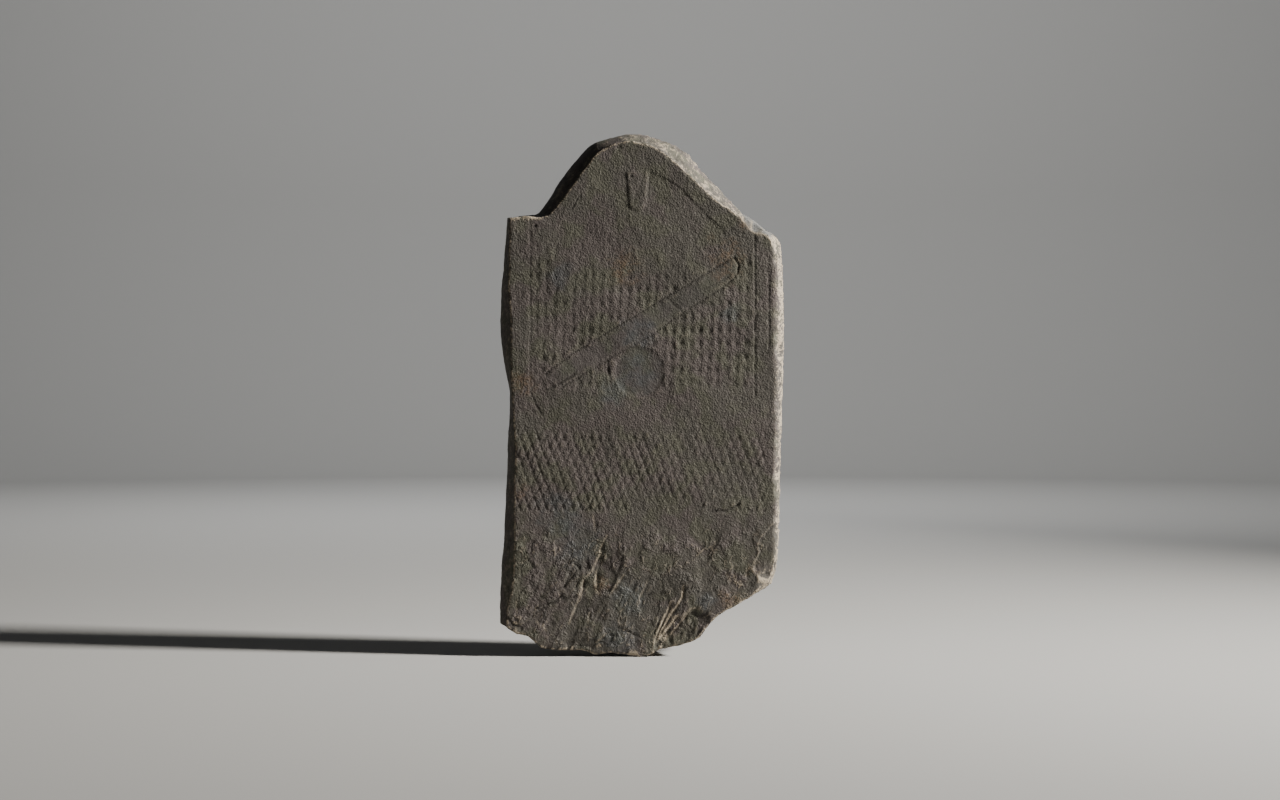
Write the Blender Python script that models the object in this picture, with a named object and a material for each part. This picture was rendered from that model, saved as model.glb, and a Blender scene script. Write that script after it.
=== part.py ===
"""Carved stone stele: one upright slab of schist with an arched head between two shoulders.

The front looks along -Y, +X is to the right of someone facing it, and +Z is up. The origin is under
the middle of the broken foot. The front is one fine surface whose relief is worked out at each of its
points: a raised arch and nose on the head, a pecked panel crossed by a plain strap, a disc, a field of
cut lozenges and the flaked foot. The sides splay outwards from the front to the widest ring of the
slab, and draw in again towards a flat back.

Places on the slab are given in hundredths: across is counted from the middle line in hundredths of
WIDTH, and up from the foot in hundredths of HEIGHT. Tool marks have their own sizes in millimetres.
"""

import bpy
import numpy as np
from mathutils import Vector, geometry

MM = 0.001

# The slab
HEIGHT = 898 * MM
WIDTH = 494 * MM
WIDEST_BEHIND_FACE = 65 * MM
BACK_BEHIND_WIDEST = 35 * MM
DEPTH = WIDEST_BEHIND_FACE + BACK_BEHIND_WIDEST
BACK_EDGE_ROUND = 14 * MM
FACE_EDGE_ROUND = 1.6 * MM
FACE_EDGE_ROUND_WIDTH = 12 * MM
FOOT_BREAK_WAVE = 6 * MM
FOOT_BREAK_TURN = 1.9
TURN_SHARE = 0.7
WIDEST_WAVE_SHARE = -0.6
TURNING_WAVE_SHARE = 0.7
OUTLINE_STEP = 14 * MM

# Rings of the splayed sides: the share backwards, the share outwards where the edge is sharp and where it
# is rounded over, and the share of the foot's wave
SPLAYS = ((0.12, 0.20, 0.56, 0.2), (0.42, 0.62, 0.86, 0.5))

# Head: the field inside the raised arch, and the nose that hangs into it
FIELD_DEPTH = 1.8 * MM
STEP_WIDTH = 3.5 * MM
FIELD_BOTTOM_UP = 71
FIELD_FADE_UP = 9
ARCH_LINE = (
    (-31.5, 78.0), (-29.0, 81.2), (-26.0, 84.0), (-22.5, 87.0), (-18.5, 89.6), (-13.0, 91.5),
    (-5.5, 92.1), (2.0, 92.1), (7.1, 90.9), (11.9, 89.5), (16.3, 87.3), (19.8, 85.2),
    (23.9, 82.9), (27.4, 81.3), (31.5, 78.0),
)
ARCH_FEET = ((31.5, 66.0), (-31.5, 66.0))
NOSE_ROOT_UP = 92.6
NOSE_TIP_UP = 84.6
NOSE_MIDDLE = -1.7
NOSE_ROOT_WIDTH = 35 * MM
NOSE_TIP_WIDTH = 26 * MM
NOSE_TIP_POINTS = 9

# Border grooves on both sides of the chest
BORDER_GROOVE_WIDTH = 6 * MM
BORDER_GROOVE_DEPTH = 1.6 * MM
LEFT_GROOVE_ACROSS = -38.7
LEFT_GROOVE_UP = (50.2, 82.2)
RIGHT_GROOVE_ACROSS = 38.7
RIGHT_GROOVE_UP = (48.7, 80.0)

# Pecked panel: pits in upright columns, with a low bridge between two pits of a column
PECK_PITCH = 15.6 * MM
PECK_RISE = 23 * MM
PECK_DEPTH = 2.0 * MM
PECK_BRIDGE_SHARE = 0.4
PECK_LEAN = 0.037
PECK_CLEARANCE = 5.2 * MM
LOWEST_LEFT_PECK = (-37.8, 51.6)
PANEL_LEFT = -37.4
PANEL_RIGHT = 37.6
PANEL_BOTTOM = 50.4
PANEL_TOP_UP = 82.0
PANEL_TOP_LINE = (
    (-40.0, 81.5), (-31.0, 80.5), (-24.0, 76.5), (-12.0, 74.0),
    (8.0, 73.6), (24.0, 72.0), (31.0, 78.0), (40.0, 78.0),
)
PANEL_FADE_UP = 3.0

# Plain strap across the panel, between two cut lines
STRAP_TOP_LINE = ((-34.5, 53.2), (-23.6, 57.6), (21.9, 72.6), (29.6, 75.2))
STRAP_BOTTOM_LINE = (
    (-28.4, 50.9), (-10.2, 56.8), (3.1, 60.8), (10.2, 63.8), (27.4, 69.9), (31.2, 71.6),
)
STRAP_END = ((29.6, 75.2), (31.6, 75.6), (33.2, 74.4), (32.8, 72.6), (31.2, 71.6))
STRAP_LINE_WIDTH = 4.5 * MM
STRAP_LINE_DEPTH = 1.2 * MM

# Disc low on the panel
DISC_MIDDLE = (-1.2, 54.0)
DISC_RADIUS = 42 * MM
DISC_DEPTH = 0.8 * MM
DISC_LINE_WIDTH = 5 * MM
DISC_LINE_DEPTH = 1.4 * MM
DISC_CORNERS = 28

# Field of lozenges between two families of slanted cuts
LOZENGE_WIDTH = 14.9 * MM
LOZENGE_HEIGHT = 29.2 * MM
LOZENGE_DEPTH = 1.7 * MM
LOZENGE_LEAN = 0.142
LOZENGE_LEFT = -44.6
LOZENGE_RIGHT = 43.8
LOZENGE_BOTTOM = 27.2
LOZENGE_TOP = 44.0
LOZENGE_FADE_UP = 2.4

# Flake scars: each is a sunk patch with the depth of its floor, the width of its slope and its outline
RIGHT_FOOT_SPALL = (
    3.5 * MM, 4 * MM,
    (
        (45.2, 25.2), (43.7, 24.6), (40.4, 22.5), (39.7, 21.1), (39.9, 19.7),
        (38.2, 17.5), (38.5, 16.1), (40.4, 14.9), (58.0, 14.0), (58.0, 26.0),
    ),
)
RIGHT_FOOT_FACET = (
    6 * MM, 18 * MM,
    ((40.0, 14.6), (42.5, 16.4), (45.5, 18.0), (58.0, 18.0), (58.0, 5.0), (38.4, 5.0), (37.5, 12.0)),
)
SHOULDER_SPALL = (
    3.5 * MM, 2.5 * MM,
    (
        (34.2, 86.0), (34.4, 83.7), (34.6, 82.6), (36.0, 81.8), (37.0, 80.9),
        (38.7, 80.3), (41.3, 80.1), (43.2, 79.5), (47.0, 82.0), (38.0, 88.0),
    ),
)
SHOULDER_STEP = (
    3.5 * MM, 2.5 * MM,
    (
        (38.4, 86.0), (38.3, 82.4), (37.8, 81.6), (37.5, 80.9), (38.9, 80.7),
        (41.3, 80.5), (43.0, 80.0), (47.0, 83.0), (42.0, 88.0),
    ),
)
FOOT_CORNER_SPALL = (
    4 * MM, 8 * MM,
    (
        (17.8, 9.2), (14.3, 8.1), (10.8, 6.6), (7.1, 4.7),
        (3.6, 2.3), (3.6, -6.0), (28.0, -6.0), (23.4, 7.9),
    ),
)
FOOT_MIDDLE_SPALL = (
    2.5 * MM, 8 * MM,
    (
        (3.6, 2.3), (-0.9, 3.2), (-9.8, 6.1), (-14.6, 4.2),
        (-26.0, 3.2), (-34.0, 2.2), (-34.0, -6.0), (3.6, -6.0),
    ),
)
DROP_HOLLOW = (
    1.8 * MM, 4 * MM,
    (
        (-16.0, 17.4), (-15.8, 14.0), (-14.0, 11.4), (-10.5, 12.3),
        (-8.4, 15.3), (-10.5, 17.4), (-13.6, 18.4),
    ),
)
LEFT_FOOT_SHELF = (
    1.0 * MM, 7 * MM,
    (
        (-47.0, 24.0), (-36.0, 22.0), (-24.5, 18.4), (-21.4, 17.2),
        (-27.0, 13.0), (-34.0, 9.6), (-40.0, 7.0), (-50.0, 7.0),
    ),
)
LONG_SCAR = (
    1.2 * MM, 4 * MM,
    (
        (-12.2, 23.1), (-14.6, 19.5), (-17.4, 16.3), (-20.3, 14.7), (-21.3, 11.6),
        (-24.0, 8.0), (-19.0, 8.0), (-13.0, 10.0), (-6.0, 18.0), (-7.0, 23.0),
    ),
)
SCARS = (
    RIGHT_FOOT_SPALL, RIGHT_FOOT_FACET, SHOULDER_SPALL, SHOULDER_STEP, FOOT_CORNER_SPALL, FOOT_MIDDLE_SPALL,
    DROP_HOLLOW, LEFT_FOOT_SHELF, LONG_SCAR,
)
SWELL_DEPTH = 1.2 * MM
SWELL_WIDTH = 210 * MM
SWELL_HEIGHT = 180 * MM

# Mesh of the front
LINE_STEP = 15 * MM
FINE_LINE_STEP = 9 * MM
FILL_STEP = 18 * MM
FILL_STRAY = 3.2 * MM
FILL_ROW_SHARE = 0.87
NODE_CLEARANCE = 4.5 * MM
FILL_CLEARANCE = 9 * MM
LEAST_STRENGTH = 0.12

# The outline in stretches, clockwise from the foot's left corner. Each has the line of the front's
# edge and the line of the slab's widest ring, which lies behind it, and says whether they are smooth.
OUTLINE = {
    "left flank": (
        (
            (-47.0, 5.9), (-46.7, 9.0), (-44.6, 15.4), (-44.2, 27.0), (-44.0, 40.0),
            (-44.8, 47.1), (-45.4, 56.0), (-45.5, 64.5), (-46.2, 70.0), (-45.9, 83.2),
        ),
        (
            (-49.9, 5.7), (-50.2, 9.5), (-49.4, 15.8), (-48.4, 26.4), (-47.3, 39.0), (-46.6, 48.7),
            (-47.9, 54.1), (-49.6, 59.3), (-49.9, 65.5), (-48.8, 74.5), (-47.6, 83.6),
        ),
        True,
    ),
    "left shoulder": (
        ((-45.9, 83.2), (-40.0, 83.5), (-34.8, 83.3)),
        ((-47.6, 83.6), (-42.3, 84.2), (-37.6, 84.5)),
        False,
    ),
    "head": (
        (
            (-34.8, 83.3), (-32.2, 83.9), (-28.4, 86.2), (-24.6, 89.1), (-20.8, 91.9),
            (-15.5, 95.4), (-8.8, 97.3), (-2.6, 97.6), (5.7, 96.1), (14.7, 92.1),
            (19.4, 89.6), (24.8, 86.8), (33.2, 83.6),
        ),
        (
            (-37.6, 84.5), (-35.6, 85.4), (-31.5, 88.7), (-28.5, 91.2), (-23.3, 95.0),
            (-17.6, 98.0), (-8.4, 99.7), (-3.0, 100.0), (7.3, 99.0), (14.8, 96.8),
            (18.9, 94.5), (24.4, 91.0), (35.6, 84.5),
        ),
        True,
    ),
    "right shoulder": (
        ((33.2, 83.6), (36.4, 83.1), (39.4, 82.0), (42.8, 80.4), (44.6, 79.0)),
        ((35.6, 84.5), (39.6, 83.1), (43.7, 81.1), (46.6, 80.6), (48.5, 79.1)),
        False,
    ),
    "right flank": (
        (
            (44.6, 79.0), (45.3, 75.2), (45.6, 61.9), (45.9, 48.7),
            (45.6, 35.4), (45.6, 24.0), (44.9, 18.4), (43.2, 14.0),
        ),
        (
            (48.5, 79.1), (49.1, 76.0), (49.6, 67.6), (49.7, 58.1), (49.2, 48.7),
            (48.5, 39.2), (48.1, 29.7), (47.5, 22.4), (46.7, 16.5), (44.5, 12.3),
        ),
        True,
    ),
    "foot": (
        (
            (43.2, 14.0), (36.3, 11.0), (27.4, 8.5), (22.2, 5.5), (19.8, 3.8), (16.3, 2.7),
            (11.2, 1.9), (6.0, 1.3), (0.9, 0.0), (-5.3, 0.4), (-10.8, 0.8), (-16.3, 0.4),
            (-21.5, 1.3), (-30.8, 1.3), (-34.9, 1.7), (-39.4, 4.0), (-43.5, 4.4), (-47.0, 5.9),
        ),
        (
            (44.5, 12.3), (36.5, 11.6), (28.0, 9.6), (22.8, 7.2), (20.0, 5.2), (16.3, 3.6),
            (11.2, 3.4), (6.0, 2.4), (0.9, 1.6), (-5.3, 1.9), (-10.8, 2.6), (-16.3, 2.0),
            (-21.5, 2.9), (-30.8, 2.6), (-35.4, 3.2), (-40.4, 4.8), (-45.0, 5.0), (-49.9, 5.7),
        ),
        False,
    ),
}

STONE_COLOR = (0.16, 0.142, 0.12, 1.0)
STONE_ROUGHNESS = 0.82


def on_slab(places):
    """Metres on the slab's front of places in hundredths, as rows of x and z."""
    return np.array(places, float) * (WIDTH / 100, HEIGHT / 100)


def smooth_curve(line, pieces=12):
    """A curve through the line's points: each stretch is a Catmull-Rom cubic of its four nearest points."""
    padded = np.vstack([2 * line[0] - line[1], line, 2 * line[-1] - line[-2]])
    before, start, end, after = padded[:-3], padded[1:-2], padded[2:-1], padded[3:]
    share = (np.arange(pieces) / pieces)[None, :, None]
    before, start, end, after = (row[:, None, :] for row in (before, start, end, after))
    cubic = (
        2 * start
        + (end - before) * share
        + (2 * before - 5 * start + 4 * end - after) * share**2
        + (3 * start - before - 3 * end + after) * share**3
    ) / 2
    return np.vstack([cubic.reshape(-1, 2), line[-1]])


def evenly(line, count):
    """Points that part the line into so many equal lengths, both ends included."""
    lengths = np.concatenate([[0], np.cumsum(np.linalg.norm(np.diff(line, axis=0), axis=1))])
    wanted = np.linspace(0, lengths[-1], count + 1)
    return np.stack([np.interp(wanted, lengths, line[:, axis]) for axis in (0, 1)], axis=1)


def length_of(line):
    return np.linalg.norm(np.diff(line, axis=0), axis=1).sum()


def outline_loops():
    """The loop of the front's edge and the matching loop of the widest ring, and the foot's share of them."""
    face, widest, foot = [], [], []
    for name, (front_places, ring_places, is_smooth) in OUTLINE.items():
        front, ring = on_slab(front_places), on_slab(ring_places)
        if is_smooth:
            front, ring = smooth_curve(front), smooth_curve(ring)
        count = max(2, round(length_of(ring) / OUTLINE_STEP))
        face.append(evenly(front, count)[:-1])
        widest.append(evenly(ring, count)[:-1])
        foot.append(np.sin(np.pi * np.arange(count) / count) if name == "foot" else np.zeros(count))
    return np.vstack(face), np.vstack(widest), np.concatenate(foot)


def distance_to(points, line):
    """Distance from each point to the nearest stretch of a broken line."""
    start, run = line[:-1], np.diff(line, axis=0)
    reach = points[:, None, :] - start[None]
    share = np.clip((reach * run).sum(2) / (run**2).sum(1), 0, 1)
    return np.sqrt(((reach - share[..., None] * run) ** 2).sum(2)).min(1)


def is_within(points, loop):
    """Whether each point lies inside a closed loop: a ray to its right crosses it an odd number of times."""
    x, z = points[:, :1], points[:, 1:]
    (x0, z0), (x1, z1) = loop.T, np.roll(loop, -1, axis=0).T
    crossed = (z0 > z) != (z1 > z)
    rise = np.where(z1 == z0, 1, z1 - z0)
    return (crossed & (x < x0 + (z - z0) / rise * (x1 - x0))).sum(1) % 2 == 1


def depth_inside(points, loop):
    """Distance to the loop, counted positive inside it and negative outside."""
    away = distance_to(points, np.vstack([loop, loop[:1]]))
    return np.where(is_within(points, loop), away, -away)


def share_between(value, low, high):
    return np.clip((value - low) / (high - low), 0, 1)


def groove(points, line, width, depth):
    """A V-shaped cut along the line, deepest in its middle."""
    return depth * np.clip(1 - distance_to(points, line) / (width / 2), 0, 1)


def nose_loop():
    """The tapered tongue with a round tip, from its root in the arch."""
    middle, tip = on_slab([(NOSE_MIDDLE, NOSE_TIP_UP)])[0]
    root = NOSE_ROOT_UP * HEIGHT / 100
    radius = NOSE_TIP_WIDTH / 2
    turn = np.radians(np.linspace(0, 180, NOSE_TIP_POINTS))
    round_tip = np.stack([middle + radius * np.cos(turn), tip + radius * (1 - np.sin(turn))], axis=1)
    sides = [(middle + NOSE_ROOT_WIDTH / 2, root)], [(middle - NOSE_ROOT_WIDTH / 2, root)]
    return np.vstack([sides[0], round_tip, sides[1]])


def strap_loop():
    """The strap's outline: its top line, its round upper end and its bottom line back again."""
    return on_slab(STRAP_TOP_LINE + STRAP_END[1:] + STRAP_BOTTOM_LINE[-2::-1])


def disc_loop(radius):
    turn = 2 * np.pi * np.arange(DISC_CORNERS) / DISC_CORNERS
    return on_slab([DISC_MIDDLE]) + radius * np.stack([np.cos(turn), np.sin(turn)], axis=1)


def upright(across, ups):
    return on_slab([(across, ups[0]), (across, ups[1])])


def panel_strength(points):
    """1 where the pecked panel is full, falling to 0 at its worn top, and 0 on the strap and the disc."""
    across, up = points[:, 0] / WIDTH * 100, points[:, 1] / HEIGHT * 100
    top = np.interp(across, *zip(*PANEL_TOP_LINE))
    full = share_between(top - up, 0, PANEL_FADE_UP)
    clear = np.minimum(-depth_inside(points, strap_loop()), -depth_inside(points, disc_loop(DISC_RADIUS)))
    inside = (across > PANEL_LEFT) & (across < PANEL_RIGHT) & (up > PANEL_BOTTOM)
    return full * inside * share_between(clear, 0, PECK_CLEARANCE)


def lozenge_strength(points):
    """1 on the left of the lozenge field, weaker on its worn right, fading out upwards."""
    across, up = points[:, 0] / WIDTH * 100, points[:, 1] / HEIGHT * 100
    inside = (across > LOZENGE_LEFT) & (across < LOZENGE_RIGHT) & (up > LOZENGE_BOTTOM)
    worn = 1 - 0.4 * share_between(across, -8, 10)
    return worn * inside * share_between(LOZENGE_TOP - up, 0, LOZENGE_FADE_UP)


def pecks(points):
    """Columns of pits: a cosine across the columns, and one up each column that leaves its bridges."""
    x, z = (points - on_slab([LOWEST_LEFT_PECK])[0]).T
    across = (1 + np.cos(2 * np.pi * (x - PECK_LEAN * z) / PECK_PITCH)) / 2
    up = (1 + np.cos(2 * np.pi * z / PECK_RISE)) / 2
    return PECK_DEPTH * across * (PECK_BRIDGE_SHARE + (1 - PECK_BRIDGE_SHARE) * up)


def lozenges(points):
    """Two families of V-shaped cuts, along whole values of x / width plus or minus z / height."""
    left, bottom = on_slab([(LOZENGE_LEFT, LOZENGE_BOTTOM)])[0]
    rise = points[:, 1] - bottom
    across = (points[:, 0] - left - LOZENGE_LEAN * rise) / LOZENGE_WIDTH
    up = rise / LOZENGE_HEIGHT
    falls, climbs = across + up, across - up
    nearest = np.minimum(abs(falls - np.round(falls)), abs(climbs - np.round(climbs)))
    return LOZENGE_DEPTH * (1 - 2 * nearest)


def face_depth(points, edge):
    """How far the front lies behind its plane at each point, as the sum and the greatest of its carvings."""
    up = points[:, 1] / HEIGHT * 100
    arch = np.vstack([smooth_curve(on_slab(ARCH_LINE)), on_slab(ARCH_FEET)])
    sunk = share_between(depth_inside(points, arch), 0, STEP_WIDTH)
    sunk = sunk * share_between(up - FIELD_BOTTOM_UP, 0, FIELD_FADE_UP)
    on_nose = share_between(depth_inside(points, nose_loop()), -STEP_WIDTH, 0)
    depth = FIELD_DEPTH * sunk * (1 - on_nose)
    for across, ups in ((LEFT_GROOVE_ACROSS, LEFT_GROOVE_UP), (RIGHT_GROOVE_ACROSS, RIGHT_GROOVE_UP)):
        depth += groove(points, upright(across, ups), BORDER_GROOVE_WIDTH, BORDER_GROOVE_DEPTH)
    depth += panel_strength(points) * pecks(points)
    for line in (STRAP_TOP_LINE, STRAP_BOTTOM_LINE):
        depth += groove(points, on_slab(line), STRAP_LINE_WIDTH, STRAP_LINE_DEPTH)
    disc = disc_loop(DISC_RADIUS)
    rim = np.vstack([disc, disc[:1]])
    depth += np.maximum(
        DISC_DEPTH * share_between(depth_inside(points, disc), 0, DISC_LINE_WIDTH),
        groove(points, rim, DISC_LINE_WIDTH, DISC_LINE_DEPTH),
    )
    depth += lozenge_strength(points) * lozenges(points)
    for floor, slope, loop in SCARS:
        depth += floor * share_between(depth_inside(points, on_slab(loop)), 0, slope)
    turn = 2 * np.pi * points / (SWELL_WIDTH, SWELL_HEIGHT)
    depth += SWELL_DEPTH * (1 - np.cos(turn[:, 0]) * np.cos(turn[:, 1])) / 2
    near_edge = 1 - share_between(distance_to(points, np.vstack([edge, edge[:1]])), 0, FACE_EDGE_ROUND_WIDTH)
    return depth + FACE_EDGE_ROUND * near_edge**2


class Sheet:
    """The points of the front and the lines that its triangles keep to."""

    def __init__(self, edge):
        self.edge = edge
        self.points = [tuple(point) for point in edge]
        self.links = [(i, (i + 1) % len(edge)) for i in range(len(edge))]

    def add_line(self, line, step=LINE_STEP):
        """A line of the carving at even steps, left out where it comes near the slab's edge."""
        line = evenly(line, max(1, round(length_of(line) / step)))
        kept = depth_inside(line, self.edge) > NODE_CLEARANCE
        last = None
        for point, keep in zip(line, kept):
            if keep:
                if last is not None:
                    self.links.append((last, len(self.points)))
                last = len(self.points)
                self.points.append(tuple(point))
            else:
                last = None

    def add_lattice(self, corner, far_corner, pitch, rise, lean, strength):
        """Points at half pitches and half rises, linked by the diagonals between those of even sum."""
        taken = np.array(self.points)
        columns = int((far_corner[0] - corner[0]) / (pitch / 2)) + 2
        rows = int((far_corner[1] - corner[1]) / (rise / 2)) + 2
        row, column = np.divmod(np.arange(rows * columns), columns)
        up = row * rise / 2
        places = np.stack([corner[0] + column * pitch / 2 + lean * up, corner[1] + up], axis=1)
        kept = (strength(places) > LEAST_STRENGTH) & (depth_inside(places, self.edge) > NODE_CLEARANCE)
        near = np.array([np.hypot(*(taken - place).T).min() for place in places])
        kept &= near > NODE_CLEARANCE
        index = dict(zip(np.flatnonzero(kept), range(len(self.points), len(self.points) + kept.sum())))
        self.points += [tuple(place) for place in places[kept]]
        for cell in range((rows - 1) * columns):
            r, c = divmod(cell, columns)
            if c == columns - 1:
                continue
            ends = (cell, cell + columns + 1) if (r + c) % 2 == 0 else (cell + 1, cell + columns)
            if ends[0] in index and ends[1] in index:
                self.links.append((index[ends[0]], index[ends[1]]))

    def add_fill(self):
        """Points in staggered rows, a little out of line, wherever the front is still bare."""
        taken = np.array(self.points)
        low, high = self.edge.min(0), self.edge.max(0)
        rows = np.arange(low[1], high[1], FILL_STEP * FILL_ROW_SHARE)
        x, z = np.meshgrid(np.arange(low[0], high[0], FILL_STEP), rows)
        x[1::2] += FILL_STEP / 2
        places = np.stack([x.ravel(), z.ravel()], axis=1)
        places += np.random.default_rng(4).uniform(-1, 1, places.shape) * FILL_STRAY
        places = places[depth_inside(places, self.edge) > FILL_CLEARANCE]
        near = np.array([np.hypot(*(taken - place).T).min() for place in places])
        self.points += [tuple(place) for place in places[near > FILL_CLEARANCE]]

    def triangles(self):
        """The points and triangles that cover the front, and the row of points along its edge."""
        made = geometry.delaunay_2d_cdt([Vector(p) for p in self.points], self.links, [], 1, 1e-7)
        places, faces, sources = made[0], made[2], made[3]
        edge = [0] * len(self.edge)
        for here, origins in enumerate(sources):
            for origin in origins:
                if origin < len(edge):
                    edge[origin] = here
        return np.array(places), faces, edge


def beside(line, distance):
    """The line moved sideways to its left by a distance, square to its run at each point."""
    run = np.gradient(line, axis=0)
    run /= np.linalg.norm(run, axis=1)[:, None]
    return line + distance * np.stack([-run[:, 1], run[:, 0]], axis=1)


def front_sheet(edge):
    """The front's sheet with every line and lattice of the carving in it."""
    sheet = Sheet(edge)
    for across, ups in ((LEFT_GROOVE_ACROSS, LEFT_GROOVE_UP), (RIGHT_GROOVE_ACROSS, RIGHT_GROOVE_UP)):
        for side in (-1, 0, 1):
            sheet.add_line(beside(upright(across, ups), side * BORDER_GROOVE_WIDTH / 2))
    for line in (STRAP_TOP_LINE, STRAP_BOTTOM_LINE):
        for side in (-1, 0, 1):
            sheet.add_line(beside(on_slab(line), side * STRAP_LINE_WIDTH / 2))
    for side in (-1, 0, 1):
        rim = disc_loop(DISC_RADIUS + side * DISC_LINE_WIDTH / 2)
        sheet.add_line(np.vstack([rim, rim[:1]]), FINE_LINE_STEP)
    arch = smooth_curve(on_slab(ARCH_LINE))
    for side in (0, -1):
        sheet.add_line(beside(arch, side * STEP_WIDTH))
    for side in (0, 1):
        sheet.add_line(beside(nose_loop(), side * STEP_WIDTH), FINE_LINE_STEP)
    for _, _, loop in SCARS:
        sheet.add_line(on_slab(loop + loop[:1]))
    sheet.add_lattice(
        on_slab([LOWEST_LEFT_PECK])[0] - (PECK_PITCH / 2, PECK_RISE / 2),
        on_slab([(PANEL_RIGHT, PANEL_TOP_UP)])[0], PECK_PITCH, PECK_RISE, PECK_LEAN, panel_strength,
    )
    sheet.add_lattice(
        on_slab([(LOZENGE_LEFT, LOZENGE_BOTTOM)])[0], on_slab([(LOZENGE_RIGHT, LOZENGE_TOP)])[0],
        LOZENGE_WIDTH, LOZENGE_HEIGHT, LOZENGE_LEAN, lozenge_strength,
    )
    sheet.add_fill()
    return sheet


def drawn_in(loop, inset):
    """The loop drawn in towards the slab's middle by the inset at its sides and at its ends."""
    middle = np.array([0, HEIGHT / 2])
    share = 1 - inset / np.array([WIDTH / 2, HEIGHT / 2])
    return middle + (loop - middle) * share


def roundness(face):
    """1 along the right flank, where the edge is rounded over, and 0 at the shoulder and the foot."""
    across, up = face[:, 0] / WIDTH * 100, face[:, 1] / HEIGHT * 100
    return share_between(across, 41, 43.5) * share_between(79 - up, 0, 3) * share_between(up, 13, 18)


def side_rings(face, widest, foot, edge_depths):
    """Rings from behind the front to the back: each is a loop and the depths of its points."""
    wave = foot * np.sin(np.arange(len(foot)) * FOOT_BREAK_TURN) * FOOT_BREAK_WAVE
    lifted = lambda loop, share: loop + np.stack([0 * wave, share * wave], axis=1)
    rounded = roundness(face)[:, None]
    for back, sharp_out, round_out, wave_share in SPLAYS:
        out = sharp_out + rounded * (round_out - sharp_out)
        depths = edge_depths + back * (WIDEST_BEHIND_FACE - edge_depths)
        yield lifted(face + out * (widest - face), wave_share), depths
    turning_in = drawn_in(widest, BACK_EDGE_ROUND * (1 - np.sqrt(1 - TURN_SHARE**2)))
    for loop, depth in (
        (lifted(widest, WIDEST_WAVE_SHARE), WIDEST_BEHIND_FACE),
        (lifted(turning_in, TURNING_WAVE_SHARE), WIDEST_BEHIND_FACE + TURN_SHARE * BACK_BEHIND_WIDEST),
        (drawn_in(widest, BACK_EDGE_ROUND), DEPTH),
    ):
        yield loop, np.full(len(loop), depth)


def stone_material():
    material = bpy.data.materials.new("stone")
    material.use_nodes = True
    shader = material.node_tree.nodes["Principled BSDF"]
    shader.inputs["Base Color"].default_value = STONE_COLOR
    shader.inputs["Roughness"].default_value = STONE_ROUGHNESS
    shader.inputs["Metallic"].default_value = 0.0
    material.diffuse_color = STONE_COLOR
    return material


def stele():
    """The slab: the carved front, the loft of its sides and the flat back, as one closed mesh."""
    face, widest, foot = outline_loops()
    places, faces, edge = front_sheet(face).triangles()
    front_y = -DEPTH / 2
    depths = face_depth(places, face)
    points = [(x, front_y + depth, z) for (x, z), depth in zip(places, depths)]
    facing = [tuple(face_points) for face_points in faces]
    before = edge
    for loop, loop_depths in side_rings(face, widest, foot, np.array(depths)[edge]):
        after = list(range(len(points), len(points) + len(loop)))
        points += [(x, front_y + depth, z) for (x, z), depth in zip(loop, loop_depths)]
        for i in range(len(loop)):
            j = (i + 1) % len(loop)
            facing.append((before[i], before[j], after[j], after[i]))
        before = after
    facing.append(tuple(before))
    mesh = bpy.data.meshes.new("stele")
    mesh.from_pydata(points, [], facing)
    mesh.materials.append(stone_material())
    mesh.shade_smooth()
    mesh.set_sharp_from_angle(angle=np.radians(35))
    return bpy.data.objects.new("stele", mesh)


def main():
    for old in list(bpy.data.objects):
        bpy.data.objects.remove(old)
    collection = bpy.data.collections.new("schist_stele")
    bpy.context.scene.collection.children.link(collection)
    collection.objects.link(stele())


main()
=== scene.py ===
"""Carved stone stele: the finished skin of the slab, its schist, and a plain studio.

One closed skin replaces the CAD node. Its front is a fine grid stretched between the four sides of the
front's outline, its sides are bands that splay outwards to the widest ring and turn in again, and its
back is a coarser grid. Places on the slab are in hundredths, as in the CAD source: across from the
middle line in hundredths of WIDTH, and up from the foot in hundredths of HEIGHT. A depth is counted
backwards from the front plane.
"""

import bpy
import numpy as np
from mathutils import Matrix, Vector


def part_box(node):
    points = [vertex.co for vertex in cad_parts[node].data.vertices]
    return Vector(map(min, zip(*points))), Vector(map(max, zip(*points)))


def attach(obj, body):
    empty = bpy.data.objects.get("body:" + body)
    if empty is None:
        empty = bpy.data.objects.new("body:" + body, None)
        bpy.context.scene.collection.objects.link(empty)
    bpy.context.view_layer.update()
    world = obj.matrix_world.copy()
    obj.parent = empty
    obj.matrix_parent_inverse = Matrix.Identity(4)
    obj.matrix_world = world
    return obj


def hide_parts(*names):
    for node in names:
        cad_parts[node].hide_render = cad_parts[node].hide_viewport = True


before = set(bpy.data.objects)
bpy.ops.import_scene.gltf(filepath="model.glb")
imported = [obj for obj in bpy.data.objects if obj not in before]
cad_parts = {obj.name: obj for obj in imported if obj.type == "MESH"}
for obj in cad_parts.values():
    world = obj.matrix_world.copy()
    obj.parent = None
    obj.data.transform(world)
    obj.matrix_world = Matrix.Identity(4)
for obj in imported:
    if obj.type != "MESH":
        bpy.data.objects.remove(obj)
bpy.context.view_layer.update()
LOW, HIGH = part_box("stele")

MM = 0.001

# The slab
HEIGHT = 898 * MM
WIDTH = 494 * MM
FRONT = LOW.y
BACK = HIGH.y
WIDEST = FRONT + 65 * MM
BACK_EDGE_ROUND = 14 * MM
FACE_EDGE_ROUND = 0.6 * MM
FACE_EDGE_ROUND_WIDTH = 4.5 * MM
SPLAY_POWER = 1.78
ROUNDED_SHARE = 0.43
ROUNDED_REST = 0.235

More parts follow.
